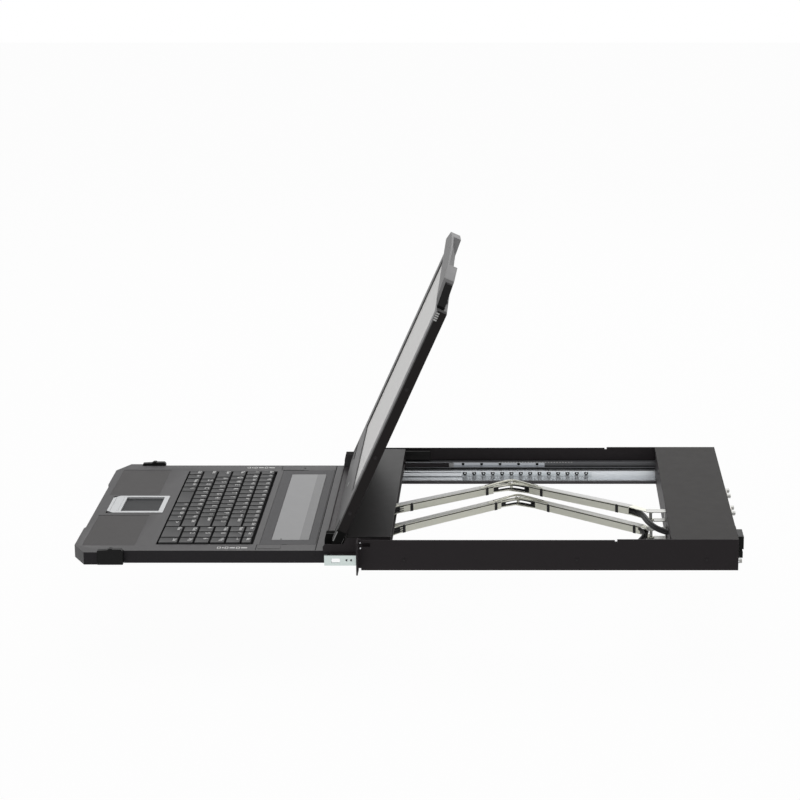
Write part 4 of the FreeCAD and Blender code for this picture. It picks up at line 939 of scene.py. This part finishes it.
def lid_details():
    ribs = Shape(LID)
    low, high = RIB_HEIGHTS
    for i in range(RIBS):
        start = RIB_FIRST + RIB_PITCH * i
        ribs.both_sides((LID_HALF - RIB_SUNK, -start - RIB_LONG, low), (LID_HALF + RIB_PROUD, -start, high))
    ribs.piece("lid_side_ribs", MARKING, "display_lid")
    lamp_mark = Shape(LID)
    lamp_mark.box(*LAMP)
    lamp_mark.piece("lid_lamp", MARKING, "display_lid")
    chin = Shape(LID)
    for i in range(BUTTONS):
        x = BUTTON_FIRST - BUTTON_PITCH * i
        chin.box((x - BUTTON_HALF, *BUTTON_LOW), (x + BUTTON_HALF, *BUTTON_HIGH))
    chin.piece("lid_buttons", MOULDED_BLACK, "display_lid", rounded=0.3)
    rim = Shape(LID)
    low, high = RIM_HEIGHTS
    for x in (-RIM_HALF, RIM_HALF - RIM_LINE):
        rim.box((x, -RIM_FAR, low), (x + RIM_LINE, -RIM_NEAR, high))
    for y in (-RIM_NEAR, -RIM_FAR + RIM_LINE):
        rim.box((-RIM_HALF, y - RIM_LINE, low), (RIM_HALF, y, high))
    rim.piece("screen_rim", SHADOW, "display_lid")
    caps = Shape(LID)
    caps.both_sides(*HINGE_CAP)
    caps.piece("lid_hinge_caps", DEEP_BLACK, "display_lid")
    # a painted highlight along each hinge cap
    bars = Shape(LID)
    bars.both_sides(*HINGE_HIGHLIGHT)
    bars.piece("lid_hinge_highlights", PALE_PIECE_AND_HIGHLIGHT, "display_lid")
    screws = Shape(LID)
    for _, side in SIDES:
        for along in LID_SCREWS:
            screws.cross((side * LID_SCREW_FACE, -along, LID_SCREW_HEIGHT), LID_SLOT_HALF, LID_SLOT_TURN)
    screws.piece("lid_screw_slots", FAINT, "display_lid")


# Chassis details

# the crossed slots of the wall screws
WALL_SCREWS = (59, 282, 450)
WALL_SCREW_HEIGHT = 14
WALL_FACE = 220.7
WALL_SLOT_HALF = (0.1, 1.5, 0.35)
WALL_SLOT_TURN = 0.5
# the rivets behind the ears: place and radius
RIVETS = (((220.1, 2.2, 37.4), 0.8), ((220.1, 2.4, 30.2), 1.0))
RIVET_LONG = 0.5
STRIKE_SPRING = ((216.2, -35.4, 9.8), (216.7, -24.5, 15.3))
# the strike plates' holes, dark discs of painted shade
STRIKE_HOLES = ((218.5, -16.0, 13.4), (218.5, -10.0, 13.4))
STRIKE_HOLE_RADIUS = 1.2
STRIKE_HOLE_THICK = 0.16
# the video sockets' middles, and their jackscrews: half their distance, height, and the nut and the tip, each
# with its place in Y, radius and length
PORTS = (-57.0, 24.0)
JACK_ASIDE = 12.5
JACK_HEIGHT = 20.5
JACK_NUT = (497.4, 3.2, 7.6)
JACK_TIP = (501.4, 2.2, 0.6)
EARTH_SCREW = (200.0, 494.5, 6.5)
EARTH_RADIUS = 3.4
EARTH_TIP = 2.8
EARTH_LONG = 5.4
INLET_SKIRT = ((134.5, 490.5, 1.2), (172.5, 500.8, 10))
# the ticks along the upper rail: number, the first one's place, pitch, and across which X and Z
TICKS = 26
TICK_FIRST = 177
TICK_PITCH = 4.2
TICK_LONG = 1.7
TICK_LOW = (210.9, 20.7)
TICK_HIGH = (211.15, 21.9)
# the sockets' pins: rows, columns, their pitches, the slant of the rows, the first row's height, and the size
PIN_ROWS = 3
PIN_COLUMNS = 5
PIN_PITCH = 2.3
ROW_PITCH = 2.1
ROW_SLANT = 0.6
PIN_PLACE = 496.5
PIN_HEIGHT = 18.4
PIN_RADIUS = 0.55
PIN_LONG = 1.0


def wall_details():
    """What sits on the side walls and the strike plates."""
    slots = Shape(STOWED_TO_WORLD)
    rivets = Shape(STOWED_TO_WORLD)
    springs = Shape(STOWED_TO_WORLD)
    holes = Shape(STOWED_TO_WORLD)
    springs.both_sides(*STRIKE_SPRING)
    for _, side in SIDES:
        for y in WALL_SCREWS:
            slots.cross((side * WALL_FACE, y, WALL_SCREW_HEIGHT), WALL_SLOT_HALF, WALL_SLOT_TURN)
        for (x, y, z), radius in RIVETS:
            rivets.disc((side * x, y, z), SIDEWAYS, radius, RIVET_LONG)
        for x, y, z in STRIKE_HOLES:
            holes.disc((side * x, y, z), SIDEWAYS, STRIKE_HOLE_RADIUS, STRIKE_HOLE_THICK)
    slots.piece("chassis_screw_slots", FAINT, "chassis")
    rivets.piece("wall_rivets", ZINC, "chassis")
    springs.piece("strike_springs", POLISHED, "chassis")
    holes.piece("strike_holes", SHADOW, "chassis")


def rear_details():
    """The ends of the rear screws, the power inlet's skirt, the rail's ticks, and the sockets' pins."""
    screws = Shape(STOWED_TO_WORLD)
    for port in PORTS:
        for x in (port - JACK_ASIDE, port + JACK_ASIDE):
            for (y, radius, length), sides in ((JACK_NUT, 6), (JACK_TIP, 20)):
                screws.disc((x, y, JACK_HEIGHT), BACKWARD, radius, length, sides=sides)
    screws.disc(EARTH_SCREW, BACKWARD, EARTH_RADIUS, EARTH_LONG, tip=EARTH_TIP)
    screws.piece("port_screw_ends", HARDWARE, "chassis")
    skirt = Shape(STOWED_TO_WORLD)
    skirt.box(*INLET_SKIRT)
    skirt.piece("inlet_skirt", MOULDED_BLACK, "chassis", rounded=0.6)
    ticks = Shape(STOWED_TO_WORLD)
    (near, low), (far, high) = TICK_LOW, TICK_HIGH
    for i in range(TICKS):
        y = TICK_FIRST + TICK_PITCH * i
        ticks.both_sides((near, y, low), (far, y + TICK_LONG, high))
    ticks.piece("rail_ticks", HARDWARE, "chassis")
    pins = Shape(STOWED_TO_WORLD)
    for port in PORTS:
        for row in range(PIN_ROWS):
            for column in range(PIN_COLUMNS):
                x = port + (column - PIN_COLUMNS // 2) * PIN_PITCH + (row - PIN_ROWS // 2) * ROW_SLANT
                pins.disc((x, PIN_PLACE, PIN_HEIGHT + ROW_PITCH * row), BACKWARD, PIN_RADIUS, PIN_LONG,
                          sides=8)
    pins.piece("port_pins", GOLD, "chassis")


# Stage, world and lamps

FLOOR_DROP = 0.15
FLOOR_SIZE = 14.0
FLOOR_GREY = (0.8, 0.8, 0.8, 1.0)
FLOOR_GLOW = 0.97
WHITE = (1.0, 1.0, 1.0, 1.0)
WORLD_LIGHT = 0.26
# each lamp's place, what it points at, its size in two directions, and its watts
LAMPS = {"overhead": ((0.0, 0.1, 2.4), (0, 0.05, 0), (2.4, 2.4), 32),
         "behind": ((-2.6, 0.6, 1.5), (0, 0.1, 0.05), (2.2, 1.6), 14),
         "near": ((2.6, -1.2, 1.0), (0, 0.05, 0.05), (1.6, 1.2), 3)}


def seen_by(net, *rays):
    """A value of one for any of these kinds of ray, and of nought for all others."""
    path = net.add("ShaderNodeLightPath")
    seen, out = path, rays[0]
    for ray in rays[1:]:
        most = net.add("ShaderNodeMath", operation="MAXIMUM")
        net.join(seen, out, most, 0)
        net.join(path, ray, most, 1)
        seen, out = most, "Value"
    return seen


def show_mix(net, share, first, second, out):
    """Show the second shader by a share, and the first by the rest."""
    mix = net.add("ShaderNodeMixShader")
    net.join(share, "Value", mix, "Fac")
    net.join(first, 0, mix, 1)
    net.join(second, 0, mix, 2)
    net.join(mix, "Shader", out, "Surface")


def stage():
    """A floor that looks nearly white, and keeps a faint shadow."""
    made, net = blank("pale floor")
    out = net.add("ShaderNodeOutputMaterial")
    matt = net.add("ShaderNodeBsdfDiffuse", Color=FLOOR_GREY)
    glow = net.add("ShaderNodeEmission", Color=WHITE, Strength=1.0)
    share = net.add("ShaderNodeMath", operation="MULTIPLY")
    share.inputs[1].default_value = FLOOR_GLOW
    net.join(seen_by(net, "Is Camera Ray", "Is Glossy Ray"), "Value", share, 0)
    show_mix(net, share, matt, glow, out)
    sheet = bmesh.new()
    bmesh.ops.create_grid(sheet, x_segments=1, y_segments=1, size=FLOOR_SIZE / 2)
    mesh = bpy.data.meshes.new("floor")
    sheet.to_mesh(mesh)
    sheet.free()
    floor = bpy.data.objects.new("floor", mesh)
    bpy.context.collection.objects.link(floor)
    floor.location.z = CAD_BOX[0][2] - FLOOR_DROP
    floor.data.materials.append(made)


def surround():
    """A world that lights softly, and looks white where it is seen or mirrored."""
    world = bpy.data.worlds.new("surround")
    bpy.context.scene.world = world
    world.use_nodes = True
    net = Nodes(world.node_tree)
    out = net.add("ShaderNodeOutputWorld")
    light = net.add("ShaderNodeBackground", Color=WHITE, Strength=WORLD_LIGHT)
    white = net.add("ShaderNodeBackground", Color=WHITE, Strength=1.0)
    seen = seen_by(net, "Is Camera Ray", "Is Transmission Ray", "Is Glossy Ray")
    show_mix(net, seen, light, white, out)


def lamps():
    for name, (place, aim, size, watts) in LAMPS.items():
        data = bpy.data.lights.new(name, "AREA")
        data.shape = "RECTANGLE"
        data.size, data.size_y = size
        data.energy = watts
        thing = bpy.data.objects.new(name, data)
        bpy.context.collection.objects.link(thing)
        thing.location = place
        thing.rotation_euler = (Vector(aim) - Vector(place)).to_track_quat("-Z", "Y").to_euler()


camera()
stage()
surround()
lamps()
carried_nodes()
key_legends()
deck_signs()
deck_marks()
slide_details()
arm_channels()
knee_cables()
arm_end_cables()
lid_details()
wall_details()
rear_details()

scene = bpy.context.scene
scene.view_settings.view_transform = "Standard"
